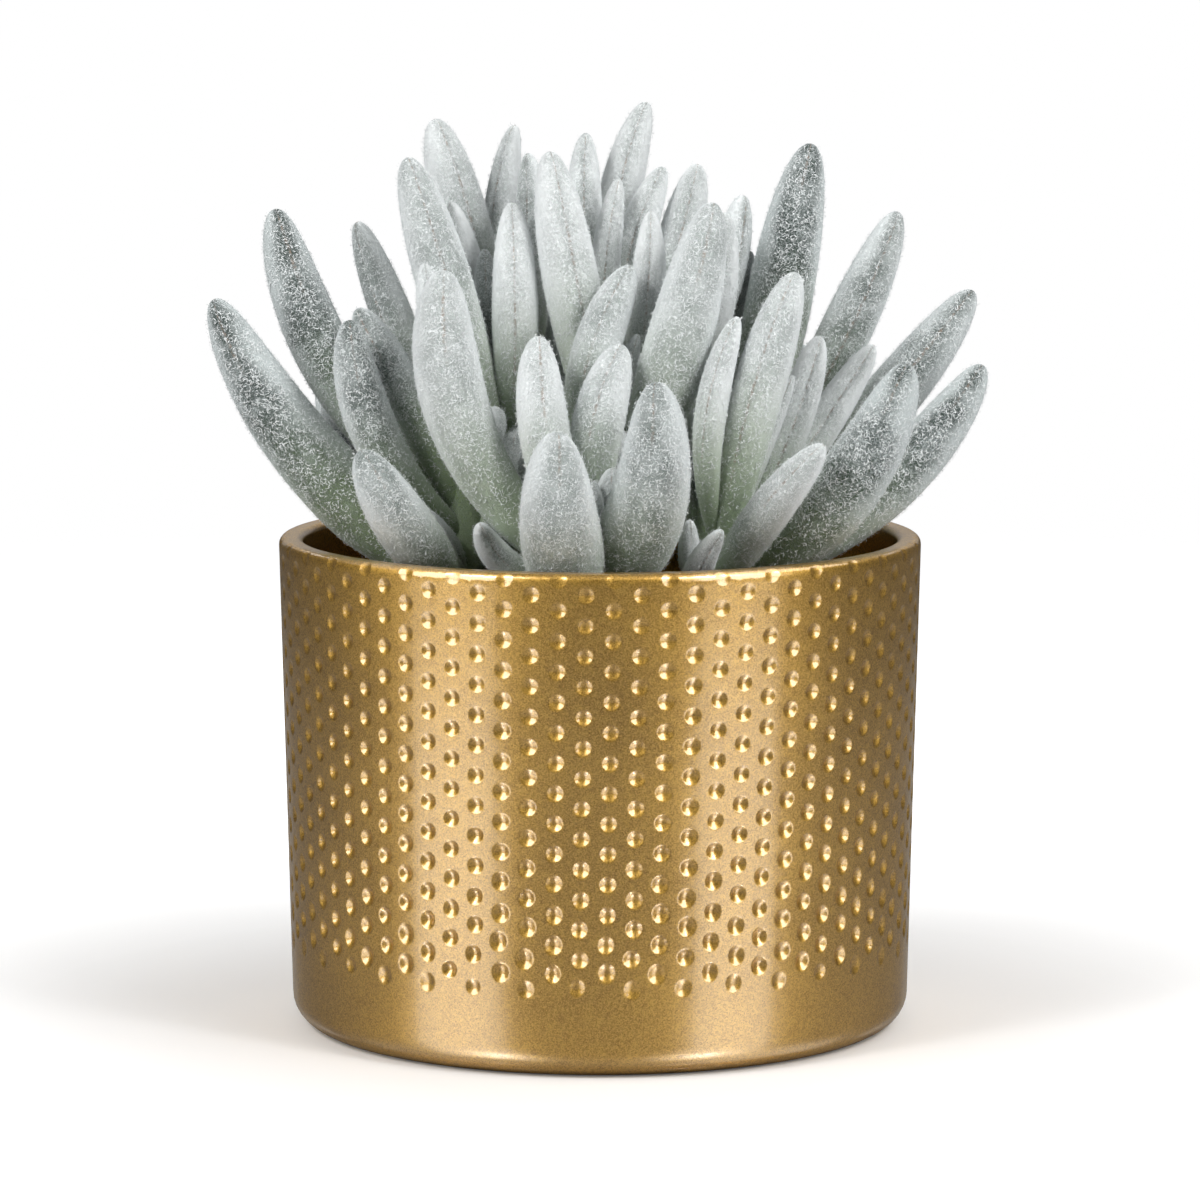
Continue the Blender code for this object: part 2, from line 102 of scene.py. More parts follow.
def pot_outline():
    """The outline that the pot turns on: from the middle of its base, up the wall, over the rim and down
    inside. Gives how far along it each point lies, with the wall's own height kept, and the points."""
    inner_foot = POT_FOOT_RADIUS - POT_WALL
    inner_rim = POT_RIM_RADIUS - POT_WALL
    rim_level = POT_HEIGHT - RIM_ROUNDING
    foot_middle = (POT_FOOT_RADIUS - FOOT_ROUNDING, FOOT_ROUNDING)
    foot = arc(foot_middle, FOOT_ROUNDING, -90, 0, FOOT_STEPS)
    points = [(POLE_RADIUS, 0), (POT_FOOT_RADIUS / 2, 0)] + foot
    wall_starts = len(points) - 1
    points += arc((POT_RIM_RADIUS - RIM_ROUNDING, rim_level), RIM_ROUNDING, 0, 90, RIM_STEPS[0])
    points += arc((inner_rim + RIM_ROUNDING, rim_level), RIM_ROUNDING, 90, 180, RIM_STEPS[1])
    points += [(inner_rim, rim_level - INNER_LIP), (inner_foot, INNER_BEND)]
    floor_middle = (inner_foot - FLOOR_ROUNDING, POT_FLOOR + FLOOR_ROUNDING)
    points += arc(floor_middle, FLOOR_ROUNDING, 0, -90, FLOOR_STEPS)
    points += [(POLE_RADIUS, POT_FLOOR)]
    points = np.array(points)
    lengths = np.concatenate([[0], np.cumsum(np.linalg.norm(np.diff(points, axis=0), axis=1))])
    return lengths - lengths[wall_starts] + FOOT_ROUNDING, points


def dimple_share(distance):
    """How deep a dimple is, as a share of its depth, at a share of its radius."""
    return (1 - min(distance, 1) ** 2) ** DIMPLE_POWER


def dimple_cells(bm):
    """The wall laid flat, x round the pot and y up its outline, as hexagons side by side. Gives each
    hexagon with the dimple that belongs in it."""
    chance = random.Random(POT_SEED)
    size = (DIMPLE_COLUMN_STEP * 2 / 3, DIMPLE_ROW_STEP / math.sin(math.pi / 3), 1, 1)
    shape = Matrix.Diagonal(size) @ Matrix.Rotation(math.pi / 2, 4, "Z")
    for level in range(DIMPLE_ROWS + 1):
        height = DIMPLE_TOP - (DIMPLE_ROWS - level) * DIMPLE_ROW_STEP
        for column in range(level % 2, DIMPLE_COLUMNS, 2):
            place = Matrix.Translation((column * DIMPLE_COLUMN_STEP, height, 0)) @ shape
            bmesh.ops.create_circle(bm, segments=6, radius=1, cap_ends=True, matrix=place)
    bmesh.ops.remove_doubles(bm, verts=bm.verts, dist=WELD)
    bmesh.ops.subdivide_edges(bm, edges=bm.edges, cuts=1)
    cells = {}
    for cell in sorted(bm.faces, key=lambda face: tuple(face.calc_center_median().yx)):
        middle = cell.calc_center_median()
        row = (middle.y - DIMPLE_TOP) / DIMPLE_ROW_STEP + DIMPLE_ROWS
        share = max(0, row / DIMPLE_ROWS)
        rough = max(0, 1 - row / ROUGH_ROWS) ** 0.5
        shift = Vector((chance.uniform(-1, 1), chance.uniform(-1, 1), 0)) * ROUGH_SHIFT * rough
        growth = GROWTH_TO_FOOT * (1 - share) + chance.uniform(-RADIUS_CHANCE, RADIUS_CHANCE) * rough
        radius = DIMPLE_RADIUS * (LEAST_RADIUS + growth)
        depth = DIMPLE_DEPTHS[1] + (DIMPLE_DEPTHS[0] - DIMPLE_DEPTHS[1]) * share ** DEPTH_POWER
        at_edge = row < 0.5 or row > DIMPLE_ROWS - 0.5
        depth *= EDGE_ROW_DEPTH if at_edge else chance.uniform(*DEPTH_CHANCE)
        stretch = 1 + chance.uniform(0, STRETCH_CHANCE) * rough
        cells[cell] = Pit(middle + shift, radius, depth, stretch)
    return cells


def press_dimples(bm, cells):
    """Insets each hexagon again and again, each time to the next ring of its dimple."""
    starts = {cell: cell.calc_center_median() for cell in cells}
    for ring in DIMPLE_RINGS:
        bmesh.ops.inset_individual(bm, faces=list(cells), thickness=RING_STEP)
        for cell, pit in cells.items():
            centre = starts[cell]
            for vertex in cell.verts:
                outward = (vertex.co.xy - centre.xy).normalized() * pit.radius * ring
                vertex.co.x = pit.middle.x + outward.x
                vertex.co.y = pit.middle.y + outward.y * pit.stretch
                vertex.co.z = -pit.depth * dimple_share(ring)
            starts[cell] = pit.middle
    centres = bmesh.ops.poke(bm, faces=list(cells))["verts"]
    for vertex in centres:
        vertex.co.z /= dimple_share(DIMPLE_RINGS[-1])


def pull_edge(bm, inside, rows):
    """Extrudes the sheet's edge that lies inside a range of heights, row after row."""
    edges = [e for e in bm.edges if e.is_boundary and all(inside(v.co.y) for v in e.verts)]
    for share, row in rows:
        made = bmesh.ops.extrude_edge_only(bm, edges=edges)["geom"]
        edges = [part for part in made if isinstance(part, bmesh.types.BMEdge)]
        for vertex in {v for edge in edges for v in edge.verts}:
            vertex.co.y += (row - vertex.co.y) * share
            vertex.co.z = 0


def refine_rim(bm, pits, low, high):
    """Cuts the sheet finer where it bends over the rim, and presses the top row of dimples in again."""
    edges = [e for e in bm.edges if all(low < v.co.y < high for v in e.verts)]
    bmesh.ops.subdivide_edges(bm, edges=edges, cuts=1, use_grid_fill=True)
    for vertex in bm.verts:
        if low < vertex.co.y < high:
            pit = min(pits, key=lambda pit: (pit.middle.xy - vertex.co.xy).length_squared)
            away = vertex.co - pit.middle
            distance = math.hypot(away.x, away.y / pit.stretch) / pit.radius
            if distance < PRESS_REACH:
                vertex.co.z = -pit.depth * dimple_share(distance)


def roll_up(bm, lengths, points):
    """Bends the flat sheet round the pot and along its outline, and welds its two ends."""
    flat = np.array([vertex.co for vertex in bm.verts])
    slopes = np.gradient(points, lengths + np.arange(len(lengths)) * LENGTHS_APART, axis=0)
    slopes /= np.linalg.norm(slopes, axis=1)[:, None]
    radius, height, out_r, out_z = (
        np.interp(flat[:, 1], lengths, column)
        for column in (points[:, 0], points[:, 1], slopes[:, 1], -slopes[:, 0])
    )
    radius += out_r * flat[:, 2]
    height += out_z * flat[:, 2]
    lean = COLUMN_SHIFT + COLUMN_LEAN * np.clip(flat[:, 1] / POT_HEIGHT, 0, 1)
    angle = (flat[:, 0] / DIMPLE_COLUMN_STEP + lean) * math.tau / DIMPLE_COLUMNS
    places = np.stack([radius * np.cos(angle), radius * np.sin(angle), height], axis=1)
    for vertex, place in zip(bm.verts, places):
        vertex.co = place
    bmesh.ops.remove_doubles(bm, verts=bm.verts, dist=WELD)
    caps = bmesh.ops.holes_fill(bm, edges=[e for e in bm.edges if e.is_boundary], sides=0)["faces"]
    bmesh.ops.poke(bm, faces=caps)
    bmesh.ops.recalc_face_normals(bm, faces=bm.faces)


def pot_mesh():
    """The whole pot: the sheet of dimples, drawn out at both edges to the rim and foot and rolled up.
    Four rows straighten the zigzag edge that the hexagons leave at the rim."""
    bm = bmesh.new()
    cells = dimple_cells(bm)
    top_pits = [pit for pit in cells.values() if pit.middle.y > DIMPLE_TOP - DIMPLE_ROW_STEP / 2]
    press_dimples(bm, cells)
    lengths, points = pot_outline()
    rim_row = DIMPLE_TOP + DIMPLE_ROW_STEP + RIM_ROW_GAP
    above = [(1, row) for row in lengths if row > rim_row]
    zigzag = [(1 / 4, rim_row), (1 / 3, rim_row), (1 / 2, rim_row), (1, rim_row)]
    pull_edge(bm, lambda y: y > DIMPLE_TOP - WELD, zigzag + above)
    below = [(1, row) for row in lengths[::-1] if row < PLAIN_BAND]
    last_row = DIMPLE_TOP - DIMPLE_ROWS * DIMPLE_ROW_STEP
    pull_edge(bm, lambda y: y < last_row + WELD, [(1, PLAIN_BAND)] + below)
    refine_rim(bm, top_pits, DIMPLE_TOP - DIMPLE_ROW_STEP + WELD, rim_row + WELD)
    roll_up(bm, lengths, points)
    return bm


def new_piece(name, bm, finish, smooth_below=60):
    """Makes the object of a finished mesh, which rides on the part's one body."""
    mesh = bpy.data.meshes.new(name)
    bm.to_mesh(mesh)
    bm.free()
    mesh.materials.append(finish)
    mesh.shade_smooth()
    mesh.set_sharp_from_angle(angle=math.radians(smooth_below))
    piece = bpy.data.objects.new(name, mesh)
    bpy.context.scene.collection.objects.link(piece)
    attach(piece, "root")
    return piece


class Socket:
    """A socket of a material's nodes. Arithmetic on it adds Math nodes, and node() adds any other."""

    def __init__(self, tree, socket=None):
        self.tree = tree
        self.socket = socket

    def node(self, kind, settings=None, values=None, output=0):
        """Adds a node with its settings, gives its sockets values or links, and returns an output."""
        made = self.tree.nodes.new(kind)
        for name, value in (settings or {}).items():
            setattr(made, name, value)
        for name, value in (values or {}).items():
            if isinstance(value, Socket):
                self.tree.links.new(value.socket, made.inputs[name])
            else:
                made.inputs[name].default_value = value
        return Socket(self.tree, made.outputs[output])

    def math(self, operation, first, second=0.0, clamp=False):
        settings = {"operation": operation, "use_clamp": clamp}
        return self.node("ShaderNodeMath", settings, {0: first, 1: second})

    def mix(self, share, low, high):
        """A colour between two others."""
        values = {0: share, 6: low, 7: high}
        return self.node("ShaderNodeMix", {"data_type": "RGBA"}, values, output=2)

    def clamp(self):
        return self.math("ADD", self, 0.0, clamp=True)

    def step(self, low, high):
        """0 below the low value, 1 above the high one, and smooth between them."""
        values = {"Value": self, "From Min": low, "From Max": high}
        return self.node("ShaderNodeMapRange", {"interpolation_type": "SMOOTHSTEP"}, values)

    def __add__(self, other):
        return self.math("ADD", self, other)

    def __sub__(self, other):
        return self.math("SUBTRACT", self, other)

    def __mul__(self, other):
        return self.math("MULTIPLY", self, other)

    def __rsub__(self, other):
        return self.math("SUBTRACT", other, self)


def new_finish(name, constants):
    """A material whose shader has constant values set on its own sockets. Gives it, a Socket to build
    its pattern with, and the shader's inputs."""
    finish = bpy.data.materials.new(name)
    finish.use_nodes = True
    shader = finish.node_tree.nodes["Principled BSDF"]
    for socket, value in constants.items():
        shader.inputs[socket].default_value = value
    return finish, Socket(finish.node_tree), shader.inputs


def feed(inputs, name, value):
    """Links a pattern to one of the shader's inputs."""
    value.tree.links.new(value.socket, inputs[name])


GOLD_LIGHT = (0.80, 0.475, 0.080, 1)
GOLD_DARK = (0.34, 0.165, 0.009, 1)
GLITTER_SIZE = 0.22 * MM
GLITTER_HEIGHT = 0.03 * MM
CLOUD_SIZE = 14 * MM
GRAIN_CONTRAST = 2.0
FLAKE_CONTRAST = 0.9
CLOUD_CONTRAST = 0.4
GOLD_SHARE = 0.6
GRAIN_ROUGHNESS = 0.25
CLOUD_ROUGHNESS = 0.08
PAINT_ROUGHNESS = 0.42
GRAIN_RISE = 0.6
FLAKE_RISE = 0.4


def gold_paint():
    """Satin paint: a metal with a fine uneven grain, flakes and faint clouds under a clear coat."""
    constants = {"Metallic": 0.95, "Coat Weight": 1.0, "Coat Roughness": 0.18, "Coat IOR": 2.3}
    finish, build, inputs = new_finish("satin_gold_paint", constants)
    place = build.node("ShaderNodeTexCoord", output=3)
    clouds = build.node("ShaderNodeTexNoise", None, {"Vector": place, "Scale": 1 / CLOUD_SIZE})
    grain_values = {"Vector": place, "Scale": 1 / GLITTER_SIZE, "Detail": 3.0, "Roughness": 0.7}
    grain = build.node("ShaderNodeTexNoise", None, grain_values)
    flake_values = {"Vector": place, "Scale": 1 / GLITTER_SIZE}
    flakes = build.node("ShaderNodeTexVoronoi", None, flake_values)
    flake = build.node("ShaderNodeTexVoronoi", None, flake_values, output=1)
    share = (grain - 0.5) * GRAIN_CONTRAST + (flake - 0.5) * FLAKE_CONTRAST
    share = share + (clouds - 0.5) * CLOUD_CONTRAST + GOLD_SHARE
    feed(inputs, "Base Color", build.mix(share.clamp(), GOLD_DARK, GOLD_LIGHT))
    rough = (grain - 0.5) * GRAIN_ROUGHNESS + (clouds - 0.5) * CLOUD_ROUGHNESS + PAINT_ROUGHNESS
    feed(inputs, "Roughness", rough)
    height = grain * GRAIN_RISE + flakes * FLAKE_RISE
    bump = {"Strength": 0.55, "Distance": GLITTER_HEIGHT, "Height": height}
    feed(inputs, "Normal", build.node("ShaderNodeBump", None, bump))
    return finish


pot = new_piece("pot_dimpled", pot_mesh(), gold_paint())
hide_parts("pot")

# The soil
# Dark, crumbly potting mix that fills the pot to 15 mm under its rim. The photo shows only the shadow
# that it lies in, so its crumbs, bark and grit are those of any bag of mix for succulents.
SOIL_TOP = 66.0 * MM
SOIL_RADIUS = POT_FOOT_RADIUS - POT_WALL - 0.3 * MM
SOIL_BOTTOM = POT_FLOOR + 0.3 * MM
SOIL_SIDES = 96
SOIL_RING_STEP = 1.3 * MM
SOIL_RINGS = 35
SOIL_LUMP = 1.0 * MM
LUMP_SIZE = 7.0 * MM
LUMP_FRACTAL = (0.9, 2.2, 4)
SOIL_TAPER = 0.94
CRUMBS = 900
CRUMB_SIZES = (0.35 * MM, 1.3 * MM)
CRUMB_SHARES = (0.6, 1)
CRUMB_DENTS = (0.7, 1.2)
CRUMB_SQUASH = (1.2, 0.9, 0.7, 1)
CRUMB_RISE = 0.3
SOIL_SEED = 7


def soil_mesh():
    """A plug of soil with a lumpy lid, fine enough for its lumps, and loose crumbs on it."""
    bm = bmesh.new()
    made = bmesh.ops.create_circle(bm, segments=SOIL_SIDES, radius=SOIL_RADIUS, cap_ends=True)
    bmesh.ops.translate(bm, verts=made["verts"], vec=(0, 0, SOIL_TOP))
    lid = bm.faces[:]
    rim = [edge for edge in bm.edges if edge.is_boundary]
    sides = bmesh.ops.extrude_edge_only(bm, edges=rim)["geom"]
    low = [part for part in sides if isinstance(part, bmesh.types.BMVert)]
    bmesh.ops.translate(bm, verts=low, vec=(0, 0, SOIL_BOTTOM - SOIL_TOP))
    bmesh.ops.scale(bm, verts=low, vec=(SOIL_TAPER, SOIL_TAPER, 1))
    bmesh.ops.contextual_create(bm, geom=low)
    for _ in range(SOIL_RINGS):
        bmesh.ops.inset_individual(bm, faces=lid, thickness=SOIL_RING_STEP)
    bmesh.ops.poke(bm, faces=lid)
    for vertex in bm.verts:
        if vertex.co.z > SOIL_BOTTOM + WELD:
            vertex.co.z += SOIL_LUMP * noise.fractal(vertex.co / LUMP_SIZE, *LUMP_FRACTAL)
    chance = random.Random(SOIL_SEED)
    for _ in range(CRUMBS):
        add_crumb(bm, chance)
    bmesh.ops.recalc_face_normals(bm, faces=bm.faces)
    return bm


def add_crumb(bm, chance):
    """One crumb: a ball of few faces, pushed out of shape, turned and half sunk in the soil."""
    size = chance.uniform(*CRUMB_SIZES) * chance.uniform(*CRUMB_SHARES)
    reach = (SOIL_RADIUS - 2 * size) * math.sqrt(chance.random())
    angle = chance.uniform(0, math.tau)
    made = bmesh.ops.create_icosphere(bm, subdivisions=1, radius=size)["verts"]
    for vertex in made:
        vertex.co *= chance.uniform(*CRUMB_DENTS)
    turn = Matrix.Rotation(chance.uniform(0, math.tau), 4, "Z")
    turn = turn @ Matrix.Rotation(chance.uniform(0, 1), 4, "X")
    middle = (reach * math.cos(angle), reach * math.sin(angle), SOIL_TOP + size * CRUMB_RISE)
    squash = Matrix.Diagonal(CRUMB_SQUASH)
    bmesh.ops.transform(bm, verts=made, matrix=Matrix.Translation(middle) @ turn @ squash)


SOIL_DARK = (0.012, 0.008, 0.005, 1)
SOIL_BROWN = (0.060, 0.036, 0.020, 1)
SOIL_GRAIN_SCALE = 600.0
SOIL_GRAIN_HEIGHT = 0.4 * MM
SOIL_SPOTS = (0.35, 0.7)


def potting_soil():
    """Dark peat with paler brown crumbs."""
    finish, build, inputs = new_finish("crumbly_soil", {"Roughness": 0.95, "Specular IOR Level": 0.2})
    place = build.node("ShaderNodeTexCoord", output=3)
    values = {"Vector": place, "Scale": SOIL_GRAIN_SCALE, "Detail": 6.0}
    crumbs = build.node("ShaderNodeTexNoise", None, values)
    feed(inputs, "Base Color", build.mix(crumbs.step(*SOIL_SPOTS), SOIL_DARK, SOIL_BROWN))
    bump = {"Strength": 0.8, "Distance": SOIL_GRAIN_HEIGHT, "Height": crumbs}
    feed(inputs, "Normal", build.node("ShaderNodeBump", None, bump))
    return finish


soil = new_piece("soil_crumbly", soil_mesh(), potting_soil(), smooth_below=35)
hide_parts("soil")

# The plant
# Seven leafy stems of one succulent. Each leaf is a fleshy spindle under a dense white wool, with a
# brown point at its tip and a crease that runs down from it. A leaf of the photo's side is given by the
# pixels of its tip and its bend, as the frame's solids are; the hidden ones stand in fans.
FRAME_MIDDLE = 600
EYE_FOCUS = 5785
EYE = np.array((0.0, -946.1 * MM, 194.6 * MM))
EYE_PITCH = math.radians(7.51)

Shoot = namedtuple("Shoot", "foot top leaves fans")
Leaf = namedtuple("Leaf", "tip bend depths root width belly turn crease age")
Fan = namedtuple("Fan", "facing spread count root reach rise width")

# Each shoot: its stem's foot and top in millimetres, its leaves seen from the front, its hidden fans.
# turn is how far the crease, and the middle band of painted sheen round it, faces away from the eye in
# degrees, crease is its share of the leaf's length from the tip, and age goes from 0, young and white,
# to 1, old and grey-green.
SHOOTS = {
    "shoot_left": Shoot(
        (-23, -9), (-21, -8, 92),
        [
            Leaf((214, 299), (291, 432), (-6, -8), 74, 11.8, 0.66, 15, 0.25, 1.0),
            Leaf((275, 209), (315, 335), (8, 4), 84, 9.6, 0.38, -15, 0.30, 1.0),
            Leaf((349, 320), (378, 440), (-14, -16), 82, 8.0, 0.40, 0, 0.30, 0.9),
            Leaf((357, 309), (400, 385), (-4, -6), 86, 7.2, 0.40, 10, 0.30, 0.8),
            Leaf((357, 222), (398, 330), (6, 3), 90, 6.8, 0.40, 40, 0.80, 0.7),
            Leaf((360, 451), (395, 512), (-27, -25), 74, 9.6, 0.50, -5, 0.25, 0.75),
            Leaf((405, 505), (440, 540), (-20, -17), 73, 5.2, 0.45, 0, 0.20, 0.6),
        ],
        [
            Fan(120, 54, 3, 76, 26, 30, 8.5),
            Fan(10, 90, 3, 82, 10, 18, 5.4),
            Fan(60, 360, 2, 88, 5, 14, 4.6),
        ],
    ),
    "shoot_centre": Shoot(
        (-2, -21), (-3, -20, 92),
        [
            Leaf((444, 270), (462, 425), (-22, -24), 77, 10.8, 0.34, 0, 0.30, 0.5),
            Leaf((557, 432), (560, 530), (-43, -38), 73, 13.0, 0.58, 0, 0.25, 0.65),
            Leaf((656, 382), (649, 500), (-40, -37), 74, 12.8, 0.62, 0, 0.25, 0.8),
            Leaf((538, 338), (544, 430), (-22, -23), 80, 8.2, 0.42, -5, 0.45, 0.4),
            Leaf((622, 346), (600, 415), (-20, -21), 82, 8.4, 0.42, 15, 0.55, 0.5),
            Leaf((632, 266), (600, 338), (-10, -12), 88, 7.8, 0.42, 15, 0.60, 0.6),
            Leaf((516, 431), (514, 462), (-14, -14), 80, 5.2, 0.45, 0, 0.20, 0.4),
            Leaf((594, 481), (597, 515), (-31, -29), 74, 2.8, 0.45, 0, 0.30, 0.4),
            Leaf((613, 468), (608, 510), (-27, -25), 75, 5.6, 0.45, 0, 0.20, 0.4),
            Leaf((480, 524), (492, 550), (-31, -27), 73, 5.2, 0.50, 0, 0.50, 0.5),
        ],
        [
            Fan(90, 150, 3, 80, 11, 20, 5.6),
            Fan(60, 360, 3, 87, 4, 11, 4.4),
        ],
    ),
    "shoot_right": Shoot(
        (19, -13), (19, -12, 92),
        [
            Leaf((738, 317), (712, 405), (-19, -20), 82, 5.2, 0.42, 20, 0.70, 0.4),
            Leaf((796, 273), (757, 395), (-14, -17), 80, 8.4, 0.42, 15, 0.80, 0.5),
            Leaf((793, 375), (770, 430), (-12, -13), 79, 3.2, 0.40, 0, 0.30, 0.3),
            Leaf((820, 336), (785, 440), (-8, -11), 77, 6.6, 0.42, -10, 0.90, 0.3),
            Leaf((874, 345), (832, 410), (-4, -8), 76, 6.2, 0.42, 0, 0.90, 0.3),
            Leaf((908, 364), (858, 470), (-26, -26), 74, 11.2, 0.50, 5, 0.20, 1.0),
            Leaf((824, 445), (780, 497), (-35, -32), 74, 7.0, 0.45, 20, 0.40, 0.4),
            Leaf((983, 365), (923, 450), (-6, -9), 74, 9.4, 0.46, 10, 0.20, 1.0),
            Leaf((722, 530), (705, 556), (-38, -35), 73, 4.8, 0.50, 10, 0.90, 0.5),
            Leaf((690, 520), (689, 543), (-29, -27), 73, 4.0, 0.50, 0, 0.20, 0.3),
        ],
        [
            Fan(110, 110, 3, 80, 11, 22, 5.6),
            Fan(30, 360, 2, 88, 4, 13, 4.6),
        ],
    ),
    "shoot_back_left": Shoot(
        (-15, 10), (-15, 10, 104),
        [
            Leaf((407, 158), (448, 295), (-2, -5), 88, 9.2, 0.38, -10, 0.50, 0.6),
            Leaf((424, 263), (436, 330), (-12, -11), 88, 5.8, 0.40, 0, 0.50, 0.5),
            Leaf((434, 119), (455, 195), (14, 12), 100, 9.2, 0.42, -25, 0.90, 0.4),
            Leaf((451, 202), (468, 265), (6, 5), 96, 5.6, 0.42, 40, 0.30, 0.3),
            Leaf((485, 249), (486, 300), (2, 3), 96, 4.6, 0.42, 0, 0.30, 0.7),
            Leaf((512, 203), (515, 310), (-1, 0), 92, 7.6, 0.45, 0, 0.80, 0.2),
            Leaf((528, 153), (533, 230), (7, 6), 98, 6.2, 0.42, 25, 0.80, 0.6),
            Leaf((515, 125), (503, 190), (16, 15), 102, 5.8, 0.42, 35, 0.90, 0.3),
        ],
        [
            Fan(125, 100, 4, 76, 32, 32, 9.0),
            Fan(100, 70, 3, 86, 21, 37, 8.0),
            Fan(0, 360, 3, 99, 4, 15, 4.8),
        ],
    ),
    "shoot_back": Shoot(
        (3, 3), (3, 5, 104),
        [
            Leaf((549, 152), (568, 265), (-2, -3), 91, 9.2, 0.43, -15, 0.80, 0.3),
            Leaf((586, 133), (584, 200), (12, 10), 101, 6.4, 0.42, 0, 0.50, 0.5),
            Leaf((619, 179), (608, 240), (3, 3), 99, 5.0, 0.42, 0, 0.60, 0.3),
            Leaf((647, 102), (622, 185), (18, 15), 102, 7.4, 0.42, 5, 0.95, 0.4),
            Leaf((664, 167), (637, 235), (9, 6), 98, 6.6, 0.42, 10, 0.80, 0.4),
            Leaf((651, 211), (648, 290), (-5, -5), 92, 6.2, 0.45, 0, 0.50, 0.2),
            Leaf((638, 334), (630, 360), (-13, -12), 90, 3.6, 0.42, 0, 0.20, 0.3),
            Leaf((698, 164), (681, 235), (10, 8), 97, 7.8, 0.42, 0, 0.70, 0.4),
            Leaf((713, 204), (682, 330), (-10, -13), 85, 10.6, 0.45, -5, 0.30, 0.6),
            Leaf((724, 212), (716, 290), (-4, -5), 88, 7.4, 0.42, 0, 0.30, 0.3),
            Leaf((743, 195), (731, 250), (5, 4), 94, 7.2, 0.42, -40, 0.80, 0.5),
        ],
        [
            Fan(90, 160, 4, 88, 13, 34, 7.0),
        ],
    ),
    "shoot_back_right": Shoot(
        (24, 13), (24, 13, 96),
        [
            Leaf((811, 144), (784, 275), (8, 4), 90, 10.8, 0.50, 0, 0.20, 1.0),
            Leaf((898, 212), (848, 326), (6, 2), 85, 8.6, 0.42, -10, 0.90, 0.8),
            Leaf((973, 291), (902, 384), (6, 2), 78, 9.4, 0.45, 5, 0.40, 0.9),
            Leaf((751, 251), (738, 300), (7, 7), 92, 4.6, 0.42, 0, 0.30, 0.5),
        ],
        [
            Fan(50, 70, 4, 76, 30, 26, 9.0),
            Fan(65, 60, 3, 84, 20, 26, 8.0),
            Fan(200, 110, 3, 84, 10, 20, 5.6),
        ],
    ),
    "shoot_rear": Shoot(
        (3, 28), (3, 27, 94),
        [],
        [
            Fan(90, 120, 5, 73, 22, 30, 9.5),
            Fan(90, 150, 5, 79, 20, 40, 8.5),
            Fan(90, 170, 4, 86, 13, 42, 7.5),
            Fan(90, 200, 3, 91, 6, 30, 5.5),
        ],
    ),
}
STEM_RADII = (4.2 * MM, 3.0 * MM)
STEM_BOTTOM = 60.0 * MM
STEM_SIDES = 24
STEM_AGE = 0.8
ROOT_SEAT = 1.4 * MM
TIP_POWER = 2.2
ROOT_POWER = 1.6
ROOT_SHARE = 0.45
FAN_SEED = 11
FAN_TURN = 7.0
FAN_STRETCH = 0.10
FAN_BELLY = 0.45
FAN_CREASE = 0.3
FAN_CREASE_GROWTH = 0.4
OLD_WIDTH = 9
BEND_REACH = 0.62
BEND_RISE = 0.40
ALONG_STEP = 0.001


def stem_point(shoot, height):
    """A point on the stem's middle line, which runs straight from its foot to its top."""
    foot = np.array((*shoot.foot, SOIL_TOP / MM)) * MM
    top = np.array(shoot.top) * MM
    return foot + (top - foot) * (height - foot[2]) / (top[2] - foot[2])


def seen_at(pixel, depth):
    """The point at a depth (its y, in millimetres) that the eye sees at a pixel of the photo."""
    right = (pixel[0] - FRAME_MIDDLE) / EYE_FOCUS
    up = (FRAME_MIDDLE - pixel[1]) / EYE_FOCUS
    ahead = math.cos(EYE_PITCH) + up * math.sin(EYE_PITCH)
    ray = np.array((right, ahead, up * math.cos(EYE_PITCH) - math.sin(EYE_PITCH)))
    return EYE + ray * ((depth * MM - EYE[1]) / ahead)


def unit(vectors):
    """Vectors with a length of 1."""
    return vectors / np.linalg.norm(vectors, axis=-1, keepdims=True)


class Blade:
    """One leaf in space: the three points of its curve and its thickness. Its sight is the line along
    which the eye sees it, or None where it is hidden."""

    def __init__(self, shoot_name, shoot, root, bend, tip, width, belly):
        out = bend - stem_point(shoot, root * MM)
        out[2] = 0
        self.shoot_name = shoot_name
        self.points = np.array([stem_point(shoot, root * MM) + unit(out) * ROOT_SEAT, bend, tip])
        self.half_width = width * MM / 2
        self.belly = belly
        low, high = np.linalg.norm(bend - self.points[0]), np.linalg.norm(tip - bend)
        self.middle = low / (low + high)
        self.length = low + high
        self.sight = None

    def weights(self, along):
        """How much the root, bend and tip each count at shares of the way from root to tip."""
        m = self.middle
        root = (along - m) * (along - 1) / m
        bend = along * (along - 1) / (m * (m - 1))
        tip = along * (along - m) / (1 - m)
        return np.stack([root, bend, tip], axis=-1)

    def at(self, along):
        return self.weights(along) @ self.points

    def radius(self, along):
        """The leaf's radius: blunt at the tip, widest at its belly, and narrower at the root."""
        from_tip = 1 - along
        near = (1 - from_tip / self.belly).clip(min=0)
        far = ((from_tip - self.belly) / (1 - self.belly)).clip(min=0)
        blunt = (1 - near ** TIP_POWER) ** (1 / TIP_POWER)
        thin = 1 - (1 - ROOT_SHARE) * far ** ROOT_POWER
        return self.half_width * np.where(from_tip < self.belly, blunt, thin)


def seen_blades(name, shoot):
    """The leaves that the photo shows, placed where the eye sees their tips and bends."""
    blades = []
    for leaf in shoot.leaves:
        tip = seen_at(leaf.tip, leaf.depths[0])
        bend = seen_at(leaf.bend, leaf.depths[1])
        blade = Blade(name, shoot, leaf.root, bend, tip, leaf.width, leaf.belly)
        blade.sight = unit(bend - EYE)
        blade.turn, blade.crease, blade.age = leaf.turn, leaf.crease, leaf.age
        blades.append(blade)
    return blades


